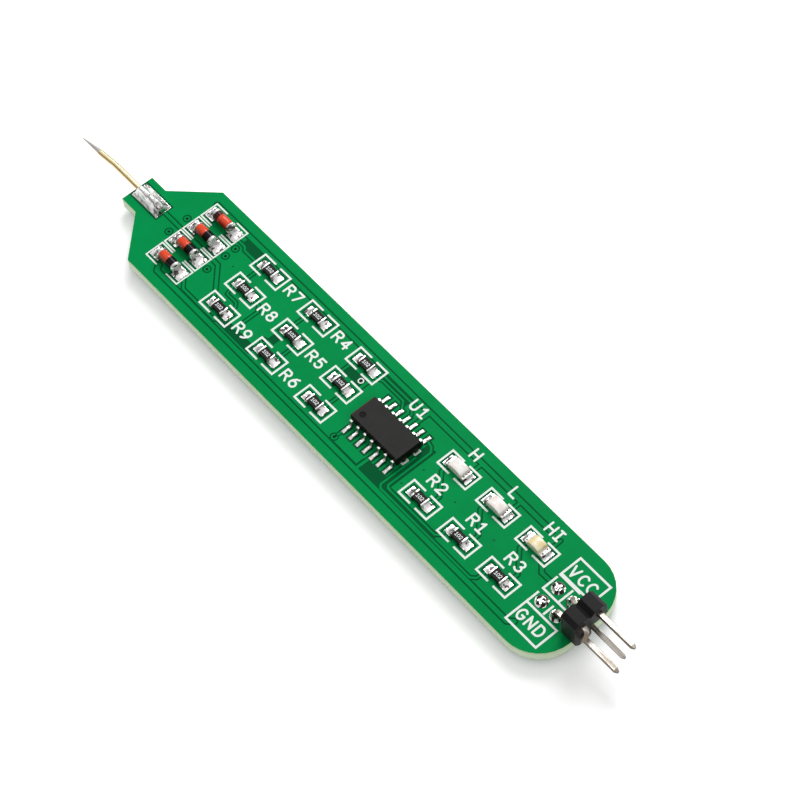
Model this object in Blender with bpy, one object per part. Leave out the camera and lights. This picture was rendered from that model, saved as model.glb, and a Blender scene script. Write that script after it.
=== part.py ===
"""Logic probe built on a bare circuit board: needle at one end, right-angle pin header at the other.

Metres, +Z up. The probe lies along X with its needle towards -X. Inside the board frame, X = 0 is the
middle of the integrated circuit, Y = 0 the board's centre line and Z = 0 the board's underside. One empty
carries everything, so that the whole probe stands on the ground plane, centred on its own box.
"""

import math

import bmesh
import bpy
from mathutils import Matrix, Vector

MM = 0.001

# Clearance between a piece and whatever it is soldered, clipped or pressed to
SEAT_GAP = 0.02 * MM

# Circuit board, with a narrow tongue for the needle and two rounded corners at the header end
BOARD_THICKNESS = 1.6 * MM
BOARD_WIDTH = 15.2 * MM
BOARD_LENGTH = 84.6 * MM
TONGUE_END_X = -49.4 * MM
TONGUE_LENGTH = 2.8 * MM
TONGUE_WIDTH = 4.8 * MM
SHOULDER_LENGTH = 5.2 * MM
END_CORNER_RADIUS = 5.2 * MM
CORNER_STEPS = 8
VIA_HOLE_RADIUS = 0.2 * MM
VIA_STEPS = 8

# Needle, a round wire ground to a point, and the solder that holds it on the tongue
NEEDLE_DIAMETER = 0.76 * MM
NEEDLE_REACH = 10.7 * MM
NEEDLE_BEND_REACH = 4.4 * MM
NEEDLE_BEND_ANGLE = math.radians(4.8)
NEEDLE_CONE_LENGTH = 3.3 * MM
NEEDLE_TIP_DIAMETER = 0.14 * MM
NEEDLE_HEIGHT = 0.62 * MM
NEEDLE_SOLDERED_LENGTH = 3.0 * MM
NEEDLE_SIDES = 12
MOUND_LENGTH = 5.1 * MM
MOUND_WIDTH = 2.5 * MM
MOUND_HEIGHT = 1.25 * MM
MOUND_EDGE = 0.3 * MM
MOUND_SIDES = 24

# Glass diodes with two end caps, four side by side behind the needle
DIODE_X = -37.4 * MM
DIODE_ROW_Y = 0.3 * MM
DIODE_PITCH = 2.91 * MM
DIODE_LENGTH = 3.5 * MM
DIODE_CAP_DIAMETER = 1.5 * MM
DIODE_GLASS_DIAMETER = 1.4 * MM
DIODE_CAP_LENGTH = 0.5 * MM
DIODE_CAP_ROUND = 0.14 * MM
DIODE_PAD_REACH = 0.55 * MM
DIODE_PAD_WIDTH = 1.7 * MM
DIODE_SOLDER_HEIGHT = 0.75 * MM
DIODE_LIFT = 0.05 * MM
DIODE_SIDES = 20
VIA_ROW_OFFSET = 3.9 * MM

# Chip resistors, three columns of three and one row of three
CHIP_LENGTH = 2.0 * MM
CHIP_WIDTH = 1.25 * MM
CHIP_HEIGHT = 0.5 * MM
CHIP_TERMINATION = 0.4 * MM
CHIP_PAD_REACH = 0.95 * MM
TERMINATION_STEP = 0.03 * MM
SOLDER_EDGE = 0.06 * MM
SOLDER_STEPS = 4
GRID_FIRST_X = -27.77 * MM
GRID_COLUMN_PITCH = 9.33 * MM
GRID_MIDDLE_Y = 0.37 * MM
GRID_ROW_PITCH = 4.01 * MM

# Lamps and their series resistors, in two rows of one pitch
LAMP_FIRST_X = 9.5 * MM
LAMP_PITCH = 6.95 * MM
LAMP_Y = 3.14 * MM
SERIES_Y = -2.87 * MM
LAMP_LENGTH = 3.2 * MM
LAMP_WIDTH = 1.5 * MM
LAMP_BASE_HEIGHT = 0.45 * MM
LAMP_TERMINATION = 0.45 * MM
LAMP_PAD_REACH = 0.4 * MM
LENS_LENGTHS = {"high": 2.5 * MM, "low": 2.5 * MM, "floating": 2.0 * MM}
LENS_HEIGHT = 0.65 * MM
LENS_CROWN = 0.22 * MM
LENS_STEPS = 6

# Integrated circuit in a small-outline body, seven leads on each side
IC_LENGTH = 8.65 * MM
IC_WIDTH = 3.9 * MM
IC_HEIGHT = 1.5 * MM
IC_STANDOFF = 0.15 * MM
IC_PARTING_HEIGHT = 0.8 * MM
IC_DRAFT = math.radians(7)
IC_Y = -0.1 * MM
IC_DIMPLE_RADIUS = 0.42 * MM
IC_DIMPLE_DEPTH = 0.08 * MM
IC_DIMPLE_INSET = 1.1 * MM
LEADS_PER_SIDE = 7
LEAD_PITCH = 1.27 * MM
LEAD_WIDTH = 0.42 * MM
LEAD_THICKNESS = 0.2 * MM
LEAD_SPAN = 6.0 * MM
LEAD_FOOT = 0.62 * MM
LEAD_SHOULDER = 0.32 * MM

# Pin header, two pins high and two wide. The lower pins turn down into the front holes, and the rear legs
# of the upper pins are cut off close to the moulding.
HEADER_PITCH = 2.54 * MM
PIN_SIZE = 0.64 * MM
PIN_LOWER_HEIGHT = 1.27 * MM
PIN_REACH = 5.9 * MM
PIN_POINT_LENGTH = 0.45 * MM
PIN_POINT_SHARE = 0.45
PIN_TAIL = 1.0 * MM
CUT_LEG_STUB = 0.25 * MM
PIN_BEND_RADIUS = 0.5 * MM
PIN_BEND_STEPS = 3
FRONT_HOLE_INSET = 3.55 * MM
HOUSING_OVERHANG = 0.95 * MM
HOUSING_DEPTH = 2.45 * MM
HOUSING_MARGIN = 1.17 * MM
HOUSING_CHAMFER = 0.55 * MM
TORN_DEPTH = 0.16 * MM
SKEWED_PIN_SHIFT = 0.8 * MM
SKEWED_PIN_RUN = 2.2 * MM
SHORT_PIN_REACH = 0.75 * MM
SHORT_PIN_DROP = 1.35 * MM
SHORT_PIN_SWING = 0.75 * MM
HOLE_RADIUS = 0.52 * MM
HOLE_STEPS = 16
JOINT_RADIUS = 0.92 * MM
JOINT_HEIGHT = 0.85 * MM
CUT_JOINT_HEIGHT = 0.4 * MM
JOINT_RIM = 0.08 * MM
JOINT_NECK = 0.14 * MM

# Places that follow from the sizes above
BOARD_TOP = BOARD_THICKNESS
BOARD_END_X = TONGUE_END_X + BOARD_LENGTH
SEAT_Z = BOARD_TOP + SEAT_GAP
FRONT_HOLE_X = BOARD_END_X - FRONT_HOLE_INSET
BACK_HOLE_X = FRONT_HOLE_X - HEADER_PITCH
HOUSING_FRONT_X = BOARD_END_X + HOUSING_OVERHANG
HOUSING_BACK_X = HOUSING_FRONT_X - HOUSING_DEPTH
PIN_TIP_X = HOUSING_FRONT_X + PIN_REACH
UPPER_PIN_Z = BOARD_TOP + PIN_LOWER_HEIGHT + HEADER_PITCH
LOWER_PIN_Z = BOARD_TOP + PIN_LOWER_HEIGHT
NEEDLE_TIP_X = TONGUE_END_X - NEEDLE_REACH
FRAME_SHIFT = Vector((-(NEEDLE_TIP_X + PIN_TIP_X) / 2, 0, PIN_TAIL))


# Scene and materials

def clear_scene():
    for item in list(bpy.data.objects):
        bpy.data.objects.remove(item, do_unlink=True)


def make_material(name, colour, roughness, metallic=0.0):
    material = bpy.data.materials.new(name)
    material.use_nodes = True
    shader = material.node_tree.nodes["Principled BSDF"]
    shader.inputs["Base Color"].default_value = (*colour, 1.0)
    shader.inputs["Roughness"].default_value = roughness
    shader.inputs["Metallic"].default_value = metallic
    material.diffuse_color = (*colour, 1.0)
    return material


def make_carrier():
    carrier = bpy.data.objects.new("probe_frame", None)
    bpy.context.scene.collection.objects.link(carrier)
    carrier.location = FRAME_SHIFT
    return carrier


def add_object(name, bm, material, location=(0, 0, 0), smooth=False):
    """Turn a bmesh into an object that rides on the probe's frame."""
    bmesh.ops.recalc_face_normals(bm, faces=bm.faces)
    mesh = bpy.data.meshes.new(name)
    bm.to_mesh(mesh)
    bm.free()
    if smooth:
        mesh.shade_smooth()
        mesh.set_sharp_from_angle(angle=math.radians(35))
    mesh.materials.append(material)
    return place_mesh(name, mesh, location)


def place_mesh(name, mesh, location):
    item = bpy.data.objects.new(name, mesh)
    bpy.context.scene.collection.objects.link(item)
    item.parent = CARRIER
    item.location = location
    return item


def hide_cutter(item):
    item.hide_render = True
    item.display_type = "WIRE"


def cut(target, cutter, operation="DIFFERENCE"):
    modifier = target.modifiers.new(f"{operation.lower()}_{cutter.name}", "BOOLEAN")
    modifier.operation = operation
    modifier.object = cutter
    hide_cutter(cutter)


# Shapes

def arc_points(centre, radius, start, end, steps):
    """Points on an arc in the plane, angles in degrees."""
    angles = [math.radians(start + (end - start) * i / steps) for i in range(steps + 1)]
    return [(centre[0] + radius * math.cos(a), centre[1] + radius * math.sin(a)) for a in angles]


def extrude_outline(bm, corners, direction):
    """A solid from a closed outline of 3D corners, pushed along a direction."""
    face = bm.faces.new([bm.verts.new(corner) for corner in corners])
    pushed = bmesh.ops.extrude_face_region(bm, geom=[face])
    moved = [item for item in pushed["geom"] if isinstance(item, bmesh.types.BMVert)]
    bmesh.ops.translate(bm, verts=moved, vec=direction)


def push_face(bm, face):
    """Extrude one face. The old face stays only where it is the solid's own starting cap."""
    is_start = all(len(edge.link_faces) == 1 for edge in face.edges)
    pushed = bmesh.ops.extrude_face_region(bm, geom=[face])
    moved = next(item for item in pushed["geom"] if isinstance(item, bmesh.types.BMFace))
    if not is_start:
        bmesh.ops.delete(bm, geom=[face], context="FACES_ONLY")
    return moved


def side_solid(outline, width):
    """A solid from an outline in X and Z, centred on Y."""
    bm = bmesh.new()
    extrude_outline(bm, [(x, -width / 2, z) for x, z in outline], (0, width, 0))
    return bm


def end_solid(outline, x_back, x_front):
    """A solid from an outline in Y and Z, reaching from one X to another."""
    bm = bmesh.new()
    extrude_outline(bm, [(x_back, y, z) for y, z in outline], (x_front - x_back, 0, 0))
    return bm


def turned_solid(profile, steps):
    """A solid turned about Z from a profile of radius and height that starts and ends on the axis."""
    bm = bmesh.new()
    verts = [bm.verts.new((radius, 0, height)) for radius, height in profile]
    edges = [bm.edges.new(pair) for pair in zip(verts, verts[1:])]
    bmesh.ops.spin(bm, geom=verts + edges, axis=(0, 0, 1), cent=(0, 0, 0), angle=math.tau,
                   steps=steps, use_merge=True)
    bmesh.ops.remove_doubles(bm, verts=bm.verts, dist=1e-7)
    return bm


def rounded_path(points, radius, steps):
    """A path whose inner corners are replaced by arcs."""
    points = [Vector(point) for point in points]
    path = [points[0]]
    for before, corner, after in zip(points, points[1:], points[2:]):
        to_before = (before - corner).normalized()
        to_after = (after - corner).normalized()
        half = to_before.angle(to_after) / 2
        back_off = radius / math.tan(half)
        centre = corner + (to_before + to_after).normalized() * (radius / math.sin(half))
        first = corner + to_before * back_off - centre
        last = corner + to_after * back_off - centre
        for i in range(steps + 1):
            path.append(centre + first.slerp(last, i / steps).normalized() * radius)
    path.append(points[-1])
    return path


def swept_solid(path, section, sizes=None):
    """A bar swept along a path with mitred corners. Sizes scale the section at each path point."""
    bm = bmesh.new()
    path = [Vector(point) for point in path]
    sizes = sizes or [1.0] * len(path)
    runs = [(b - a).normalized() for a, b in zip(path, path[1:])]
    side = Vector((0, 1, 0)) if abs(runs[0].z) > 0.9 else runs[0].cross(Vector((0, 0, 1))).normalized()
    rise = side.cross(runs[0])
    face = bm.faces.new([bm.verts.new(path[0] + (side * a + rise * b) * sizes[0]) for a, b in section])
    for i, run in enumerate(runs):
        after = runs[min(i + 1, len(runs) - 1)]
        mitre = (run + after).normalized()
        growth = sizes[i + 1] / sizes[i]
        face = push_face(bm, face)
        for vert in face.verts:
            grown = path[i] + (vert.co - path[i]) * growth
            vert.co = grown + run * ((path[i + 1] - grown).dot(mitre) / run.dot(mitre))
    return bm


def square_section(size):
    half = size / 2
    return [(-half, -half), (half, -half), (half, half), (-half, half)]


def round_section(diameter, sides):
    return arc_points((0, 0), diameter / 2, 0, 360 * (1 - 1 / sides), sides - 1)


# Circuit board

def board_outline():
    half = BOARD_WIDTH / 2
    shoulder_x = TONGUE_END_X + TONGUE_LENGTH
    wide_x = shoulder_x + SHOULDER_LENGTH
    corner_x = BOARD_END_X - END_CORNER_RADIUS
    upper = [(TONGUE_END_X, TONGUE_WIDTH / 2), (shoulder_x, TONGUE_WIDTH / 2), (wide_x, half)]
    upper += arc_points((corner_x, half - END_CORNER_RADIUS), END_CORNER_RADIUS, 90, 0, CORNER_STEPS)
    lower = [(x, -y) for x, y in reversed(upper)]
    return upper + lower


def via_places():
    """Plated holes: one at each end of the diodes it serves, and three along the traces."""
    before = DIODE_X - VIA_ROW_OFFSET
    after = DIODE_X + VIA_ROW_OFFSET
    upper = DIODE_ROW_Y + DIODE_PITCH / 2
    lower = DIODE_ROW_Y - DIODE_PITCH / 2
    third_row = GRID_MIDDLE_Y - GRID_ROW_PITCH
    beside_chip = third_row + CHIP_WIDTH / 2 + 0.4 * MM
    lamp_edge = LAMP_FIRST_X - 2 * LAMP_PITCH + 0.4 * MM
    return [
        (before, upper), (before, lower), (after, lower), (after, upper), (after, upper + 1.6 * MM),
        (GRID_FIRST_X + GRID_COLUMN_PITCH - CHIP_LENGTH, beside_chip),
        (lamp_edge, third_row - CHIP_WIDTH),
    ]


def header_holes():
    for row, x in (("back", BACK_HOLE_X), ("front", FRONT_HOLE_X)):
        for net, y in (("vcc", HEADER_PITCH / 2), ("gnd", -HEADER_PITCH / 2)):
            yield f"{net}_{row}", x, y


def make_board(material):
    bm = bmesh.new()
    extrude_outline(bm, [(x, y, 0) for x, y in board_outline()], (0, 0, BOARD_THICKNESS))
    board = add_object("circuit_board", bm, material)
    drills = bmesh.new()
    holes = [(x, y, VIA_HOLE_RADIUS, VIA_STEPS) for x, y in via_places()]
    holes += [(x, y, HOLE_RADIUS, HOLE_STEPS) for _, x, y in header_holes()]
    for x, y, radius, steps in holes:
        place = Matrix.Translation((x, y, BOARD_THICKNESS / 2))
        bmesh.ops.create_cone(drills, cap_ends=True, segments=steps, radius1=radius, radius2=radius,
                              depth=2 * BOARD_THICKNESS, matrix=place)
    cut(board, add_object("board_drills", drills, material))


# Needle and its solder

def needle_path():
    axis_z = BOARD_TOP + NEEDLE_HEIGHT
    bend_x = TONGUE_END_X - NEEDLE_BEND_REACH
    swing = math.tan(NEEDLE_BEND_ANGLE)
    cone_x = NEEDLE_TIP_X + NEEDLE_CONE_LENGTH
    return [
        (TONGUE_END_X + NEEDLE_SOLDERED_LENGTH, 0, axis_z),
        (bend_x, 0, axis_z),
        (cone_x, -(bend_x - cone_x) * swing, axis_z),
        (NEEDLE_TIP_X, -(bend_x - NEEDLE_TIP_X) * swing, axis_z),
    ]


def make_needle(gold, solder):
    section = round_section(NEEDLE_DIAMETER, NEEDLE_SIDES)
    sizes = [1, 1, 1, NEEDLE_TIP_DIAMETER / NEEDLE_DIAMETER]
    add_object("probe_needle", swept_solid(needle_path(), section, sizes), gold, smooth=True)
    mound = turned_mound()
    pocket = round_section(NEEDLE_DIAMETER + 2 * SEAT_GAP, NEEDLE_SIDES)
    start = Vector(needle_path()[0])
    path = [start + Vector((SEAT_GAP, 0, 0)), start - Vector((2 * NEEDLE_SOLDERED_LENGTH, 0, 0))]
    blob = add_object("needle_solder", mound, solder, smooth=True)
    cut(blob, add_object("needle_pocket", swept_solid(path, pocket), solder))


def turned_mound():
    """A low rounded mound of solder on an oblong pad, steep at its edge and flat on top."""
    steps = 5
    profile = [(0, 0), (1, 0), (1, SOLDER_EDGE)]
    for i in range(1, steps + 1):
        angle = math.pi / 2 * i / steps
        profile.append((math.cos(angle) ** 0.6, SOLDER_EDGE + (MOUND_HEIGHT - SOLDER_EDGE) * math.sin(angle)))
    profile[-1] = (0, MOUND_HEIGHT)
    bm = turned_solid(profile, MOUND_SIDES)
    bmesh.ops.scale(bm, verts=bm.verts, vec=(MOUND_LENGTH / 2, MOUND_WIDTH / 2, 1))
    middle_x = TONGUE_END_X + MOUND_EDGE + MOUND_LENGTH / 2
    bmesh.ops.translate(bm, verts=bm.verts, vec=(middle_x, 0, SEAT_Z))
    return bm


# Diodes

def lying_cylinder(radius, length, steps):
    """A cylinder along X centred on the origin."""
    bm = bmesh.new()
    turn = Matrix.Rotation(math.pi / 2, 4, "Y")
    bmesh.ops.create_cone(bm, cap_ends=True, segments=steps, radius1=radius, radius2=radius,
                          depth=length, matrix=turn)
    return bm


def diode_cap(axis_z):
    """An end cap with its outer rim rounded, lying along X with its outer face at X = 0."""
    radius = DIODE_CAP_DIAMETER / 2
    profile = [(0, 0), (radius - DIODE_CAP_ROUND, 0)]
    profile += [(radius - DIODE_CAP_ROUND / 3, DIODE_CAP_ROUND / 3), (radius, DIODE_CAP_ROUND)]
    profile += [(radius, DIODE_CAP_LENGTH), (0, DIODE_CAP_LENGTH)]
    bm = turned_solid(profile, DIODE_SIDES)
    bmesh.ops.rotate(bm, verts=bm.verts, matrix=Matrix.Rotation(math.pi / 2, 3, "Y"))
    bmesh.ops.translate(bm, verts=bm.verts, vec=(0, 0, axis_z))
    return bm


def diode_solder():
    """Solder from the pad up to the lower half of an end cap, as a wedge that narrows upwards."""
    reach, wide, high = DIODE_PAD_REACH, DIODE_PAD_WIDTH / 2, DIODE_SOLDER_HEIGHT
    inner = DIODE_CAP_LENGTH - 0.05 * MM
    narrow = DIODE_CAP_DIAMETER / 2 - DIODE_CAP_ROUND
    bm = bmesh.new()
    for x, y, z in (
        (-reach, wide, 0), (inner, wide, 0), (-reach, wide, SOLDER_EDGE), (inner, wide, SOLDER_EDGE),
        (0, narrow, high), (inner, narrow, high),
    ):
        bm.verts.new((x, y, z))
        bm.verts.new((x, -y, z))
    bmesh.ops.convex_hull(bm, input=bm.verts)
    return bm


def make_diodes(glass, tin):
    axis_z = DIODE_CAP_DIAMETER / 2 + DIODE_LIFT
    glass_length = DIODE_LENGTH - 2 * (DIODE_CAP_LENGTH + SEAT_GAP)
    glass_bm = lying_cylinder(DIODE_GLASS_DIAMETER / 2, glass_length, DIODE_SIDES)
    bmesh.ops.translate(glass_bm, verts=glass_bm.verts, vec=(0, 0, axis_z))
    for i in range(4):
        y = DIODE_ROW_Y + (i - 1.5) * DIODE_PITCH
        place = (DIODE_X, y, SEAT_Z)
        add_object(f"diode_{i + 1}_glass", glass_bm.copy(), glass, place, smooth=True)
        for end, side in (("needle_end", -1), ("header_end", 1)):
            cap_bm, solder_bm = diode_cap(axis_z), diode_solder()
            for bm in (cap_bm, solder_bm):
                if side > 0:
                    bmesh.ops.rotate(bm, verts=bm.verts, matrix=Matrix.Rotation(math.pi, 3, "Z"))
            outer = (DIODE_X + side * DIODE_LENGTH / 2, y, SEAT_Z)
            cap = add_object(f"diode_{i + 1}_cap_{end}", cap_bm, tin, outer, smooth=True)
            cut(cap, add_object(f"diode_{i + 1}_solder_{end}", solder_bm, tin, outer), "UNION")
    glass_bm.free()


# Chip resistors and lamp bases

def chip_outline(length, height, termination, reach):
    """Side view of a soldered chip: two concave solder fillets, two end caps and the body between."""
    half = length / 2
    top = height + TERMINATION_STEP
    left = [(-half - reach, 0), (-half - reach, SOLDER_EDGE)]
    rise = height * 0.85 - SOLDER_EDGE
    for i in range(1, SOLDER_STEPS + 1):
        angle = math.pi / 2 * i / SOLDER_STEPS
        left.append((-half - reach * (1 - math.sin(angle)), SOLDER_EDGE + rise * (1 - math.cos(angle))))
    left += [(-half, top), (-half + termination, top), (-half + termination, height)]
    right = [(-x, z) for x, z in reversed(left)]
    return left + right


def make_resistors(material):
    outline = chip_outline(CHIP_LENGTH, CHIP_HEIGHT, CHIP_TERMINATION, CHIP_PAD_REACH)
    places = [(LAMP_FIRST_X + i * LAMP_PITCH, SERIES_Y) for i in (1, 0, 2)]
    for column in (1, 0, 2):
        for row in (1, 0, -1):
            x = GRID_FIRST_X + column * GRID_COLUMN_PITCH
            places.append((x, GRID_MIDDLE_Y + row * GRID_ROW_PITCH))
    for i, (x, y) in enumerate(places):
        name = f"resistor_{i + 1:02d}"
        add_object(name, side_solid(outline, CHIP_WIDTH), material, (x, y, SEAT_Z))


def lens_outline(length):
    """Side view of a lamp's lens: upright ends and a crowned top."""
    half = length / 2
    sagitta = LENS_CROWN
    radius = (half ** 2 + sagitta ** 2) / (2 * sagitta)
    spread = math.degrees(math.asin(half / radius))
    crown = arc_points((0, LENS_HEIGHT - radius), radius, 90 + spread, 90 - spread, LENS_STEPS)
    return [(-half, 0)] + crown + [(half, 0)]


def make_lamps(base_material, lens_material):
    outline = chip_outline(LAMP_LENGTH, LAMP_BASE_HEIGHT, LAMP_TERMINATION, LAMP_PAD_REACH)
    for i, (name, lens_length) in enumerate(LENS_LENGTHS.items()):
        place = (LAMP_FIRST_X + i * LAMP_PITCH, LAMP_Y, SEAT_Z)
        add_object(f"lamp_{name}_base", side_solid(outline, LAMP_WIDTH), base_material, place)
        lens_z = SEAT_Z + LAMP_BASE_HEIGHT + TERMINATION_STEP + SEAT_GAP
        lens = side_solid(lens_outline(lens_length), LAMP_WIDTH)
        add_object(f"lamp_{name}_lens", lens, lens_material, (place[0], place[1], lens_z))


# Integrated circuit

def ic_section(shrink):
    return (IC_LENGTH - 2 * shrink, IC_WIDTH - 2 * shrink)


def make_ic_body(material):
    """A moulded body, widest at its parting line and tapered to both faces, with a round dimple at pin 1."""
    upper_shrink = (IC_HEIGHT - IC_PARTING_HEIGHT) * math.tan(IC_DRAFT)
    lower_shrink = IC_PARTING_HEIGHT * math.tan(IC_DRAFT)
    bm = bmesh.new()
    length, width = ic_section(lower_shrink)
    corners = [(-length / 2, -width / 2, 0), (length / 2, -width / 2, 0),
               (length / 2, width / 2, 0), (-length / 2, width / 2, 0)]
    face = bm.faces.new([bm.verts.new(corner) for corner in corners])
    for shrink, height in ((0, IC_PARTING_HEIGHT), (upper_shrink, IC_HEIGHT)):
        length, width = ic_section(shrink)
        face = push_face(bm, face)
        for vert in face.verts:
            side_x, side_y = math.copysign(1, vert.co.x), math.copysign(1, vert.co.y)
            vert.co = (side_x * length / 2, side_y * width / 2, height)
    body = add_object("ic_body", bm, material, (0, IC_Y, SEAT_Z + IC_STANDOFF))
    dimple = bmesh.new()
    top_z = SEAT_Z + IC_STANDOFF + IC_HEIGHT
    place = Matrix.Translation((IC_DIMPLE_INSET - IC_LENGTH / 2, IC_Y - IC_WIDTH / 2 + IC_DIMPLE_INSET, top_z))
    bmesh.ops.create_cone(dimple, cap_ends=True, segments=16, radius1=IC_DIMPLE_RADIUS,
                          radius2=IC_DIMPLE_RADIUS, depth=2 * IC_DIMPLE_DEPTH, matrix=place)
    cut(body, add_object("ic_dimple_cutter", dimple, material))


def lead_outline():
    """Side view of a gull-wing lead in Y and Z: foot on the pad, slanted riser, shoulder into the body."""
    half_span = LEAD_SPAN / 2
    foot_in = half_span - LEAD_FOOT
    body_face = IC_WIDTH / 2 + SEAT_GAP
    shoulder = body_face + LEAD_SHOULDER
    high = IC_STANDOFF + IC_PARTING_HEIGHT + LEAD_THICKNESS / 2
    low = high - LEAD_THICKNESS
    slant = LEAD_THICKNESS
    return [
        (half_span, 0), (half_span, LEAD_THICKNESS), (foot_in + 0.3 * slant, LEAD_THICKNESS),
        (shoulder + 0.2 * slant, high), (body_face, high), (body_face, low), (shoulder - 0.8 * slant, low),
        (foot_in - 0.7 * slant, 0),
    ]


def make_ic_leads(material):
    """Leads numbered the usual way: 1 to 7 along the -Y side, then back along the +Y side."""
    for i in range(2 * LEADS_PER_SIDE):
        front = i < LEADS_PER_SIDE
        slot = i if front else 2 * LEADS_PER_SIDE - 1 - i
        x = (slot - (LEADS_PER_SIDE - 1) / 2) * LEAD_PITCH
        side = -1 if front else 1
        outline = [(side * y, z) for y, z in lead_outline()]
        bm = end_solid(outline, -LEAD_WIDTH / 2, LEAD_WIDTH / 2)
        add_object(f"ic_lead_{i + 1:02d}", bm, material, (x, IC_Y, SEAT_Z))


# Pin header

def housing_outline():
    """End view of the moulding: two cells side by side, the lower one of the supply side torn away."""
    low = LOWER_PIN_Z - HOUSING_MARGIN
    high = UPPER_PIN_Z + HOUSING_MARGIN
    outer = HEADER_PITCH / 2 + HOUSING_MARGIN
    torn_z = (LOWER_PIN_Z + UPPER_PIN_Z) / 2
    bevel = HOUSING_CHAMFER
    return [
        (-outer, low + bevel), (-outer + bevel, low), (-bevel, low), (0, low + bevel),
        (0, torn_z - TORN_DEPTH), (HEADER_PITCH / 4, torn_z), (HEADER_PITCH / 2, torn_z - TORN_DEPTH),
        (outer - bevel, torn_z + TORN_DEPTH / 2), (outer, torn_z + TORN_DEPTH),
        (outer, high - bevel), (outer - bevel, high), (bevel, high), (0, high - bevel), (-bevel, high),
        (-outer + bevel, high), (-outer, high - bevel),
    ]


def make_housing(material):
    bm = end_solid(housing_outline(), HOUSING_BACK_X, HOUSING_FRONT_X)
    housing = add_object("header_housing", bm, material)
    bores = bmesh.new()
    size = PIN_SIZE + 2 * SEAT_GAP
    places = [(HEADER_PITCH / 2, UPPER_PIN_Z), (-HEADER_PITCH / 2, UPPER_PIN_Z), (-HEADER_PITCH / 2, LOWER_PIN_Z)]
    for y, z in places:
        middle = Vector(((HOUSING_BACK_X + HOUSING_FRONT_X) / 2, y, z))
        shape = Matrix.Translation(middle) @ Matrix.Diagonal((2 * HOUSING_DEPTH, size, size, 1))
        bmesh.ops.create_cube(bores, size=1, matrix=shape)
    cut(housing, add_object("housing_bores", bores, material))


def make_pin(name, path, material, pointed=True):
    sizes = [1.0] * len(path)
    if pointed:
        run = (path[-1] - path[-2]).normalized()
        path = path + [path[-1] + run * PIN_POINT_LENGTH]
        sizes = sizes + [PIN_POINT_SHARE]
    add_object(name, swept_solid(path, square_section(PIN_SIZE), sizes), material)


def make_pins(material):
    supply, ground = HEADER_PITCH / 2, -HEADER_PITCH / 2
    stub_x = HOUSING_BACK_X - CUT_LEG_STUB
    straight = [(stub_x, supply, UPPER_PIN_Z), (PIN_TIP_X - PIN_POINT_LENGTH, supply, UPPER_PIN_Z)]
    make_pin("header_pin_vcc_upper", rounded_path(straight, PIN_BEND_RADIUS, PIN_BEND_STEPS), material)
    legged = [
        (FRONT_HOLE_X, ground, -PIN_TAIL), (FRONT_HOLE_X, ground, LOWER_PIN_Z),
        (PIN_TIP_X - PIN_POINT_LENGTH, ground, LOWER_PIN_Z),
    ]
    make_pin("header_pin_gnd_lower", rounded_path(legged, PIN_BEND_RADIUS, PIN_BEND_STEPS), material)

    # The lower supply pin has lost its cell and is pushed sideways before it runs out straight.
    skew_y = supply - SKEWED_PIN_SHIFT
    skewed = [
        (FRONT_HOLE_X, supply, -PIN_TAIL), (FRONT_HOLE_X, supply, LOWER_PIN_Z),
        (FRONT_HOLE_X + SKEWED_PIN_RUN, skew_y, LOWER_PIN_Z),
        (PIN_TIP_X - PIN_POINT_LENGTH - SKEWED_PIN_SHIFT, skew_y, LOWER_PIN_Z),
    ]
    make_pin("header_pin_vcc_lower", rounded_path(skewed, PIN_BEND_RADIUS, PIN_BEND_STEPS), material)

    # The upper ground pin is bent down beside its neighbour as soon as it leaves the housing.
    out_x = HOUSING_FRONT_X + SHORT_PIN_REACH
    short = [
        (stub_x, ground, UPPER_PIN_Z), (out_x, ground, UPPER_PIN_Z),
        (out_x, ground - SHORT_PIN_SWING, UPPER_PIN_Z - SHORT_PIN_DROP),
    ]
    path = rounded_path(short, PIN_BEND_RADIUS, PIN_BEND_STEPS)
    make_pin("header_pin_gnd_upper", path, material, pointed=False)


def joint_slope(height):
    """The hollow slope of a solder cone, from its foot up to where it meets the wire."""
    neck = PIN_SIZE / math.sqrt(2) + JOINT_NECK
    slope = []
    for i in range(SOLDER_STEPS + 1):
        angle = math.pi / 2 * i / SOLDER_STEPS
        radius = neck + (JOINT_RADIUS - neck) * (1 - math.sin(angle))
        slope.append((radius, JOINT_RIM + (height - JOINT_RIM) * (1 - math.cos(angle))))
    return slope


def joint_profile(height):
    """Half section of the solder in one hole: a concave cone above, the filled barrel, a cone below."""
    barrel = HOLE_RADIUS - SEAT_GAP
    above = [(r, SEAT_Z + z) for r, z in reversed(joint_slope(height))]
    below = [(r, -SEAT_GAP - z) for r, z in joint_slope(JOINT_HEIGHT)]
    return (
        [(0, above[0][1])] + above + [(JOINT_RADIUS, SEAT_Z), (barrel, SEAT_Z), (barrel, -SEAT_GAP),
                                      (JOINT_RADIUS, -SEAT_GAP)] + below + [(0, below[-1][1])]
    )


def make_joints(material):
    """The front joints hold the lower pins. The back ones are closed over the ends of the cut legs."""
    size = PIN_SIZE + 2 * SEAT_GAP
    for name, x, y in header_holes():
        holds_pin = x == FRONT_HOLE_X
        profile = joint_profile(JOINT_HEIGHT if holds_pin else CUT_JOINT_HEIGHT)
        joint = add_object(f"solder_joint_{name}", turned_solid(profile, HOLE_STEPS), material, (x, y, 0),
                           smooth=True)
        if holds_pin:
            slot = bmesh.new()
            bmesh.ops.create_cube(slot, size=1, matrix=Matrix.Diagonal((size, size, 6 * BOARD_THICKNESS, 1)))
            cut(joint, add_object(f"slot_{name}", slot, material, (x, y, 0)))


# The whole probe

clear_scene()
CARRIER = make_carrier()

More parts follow.
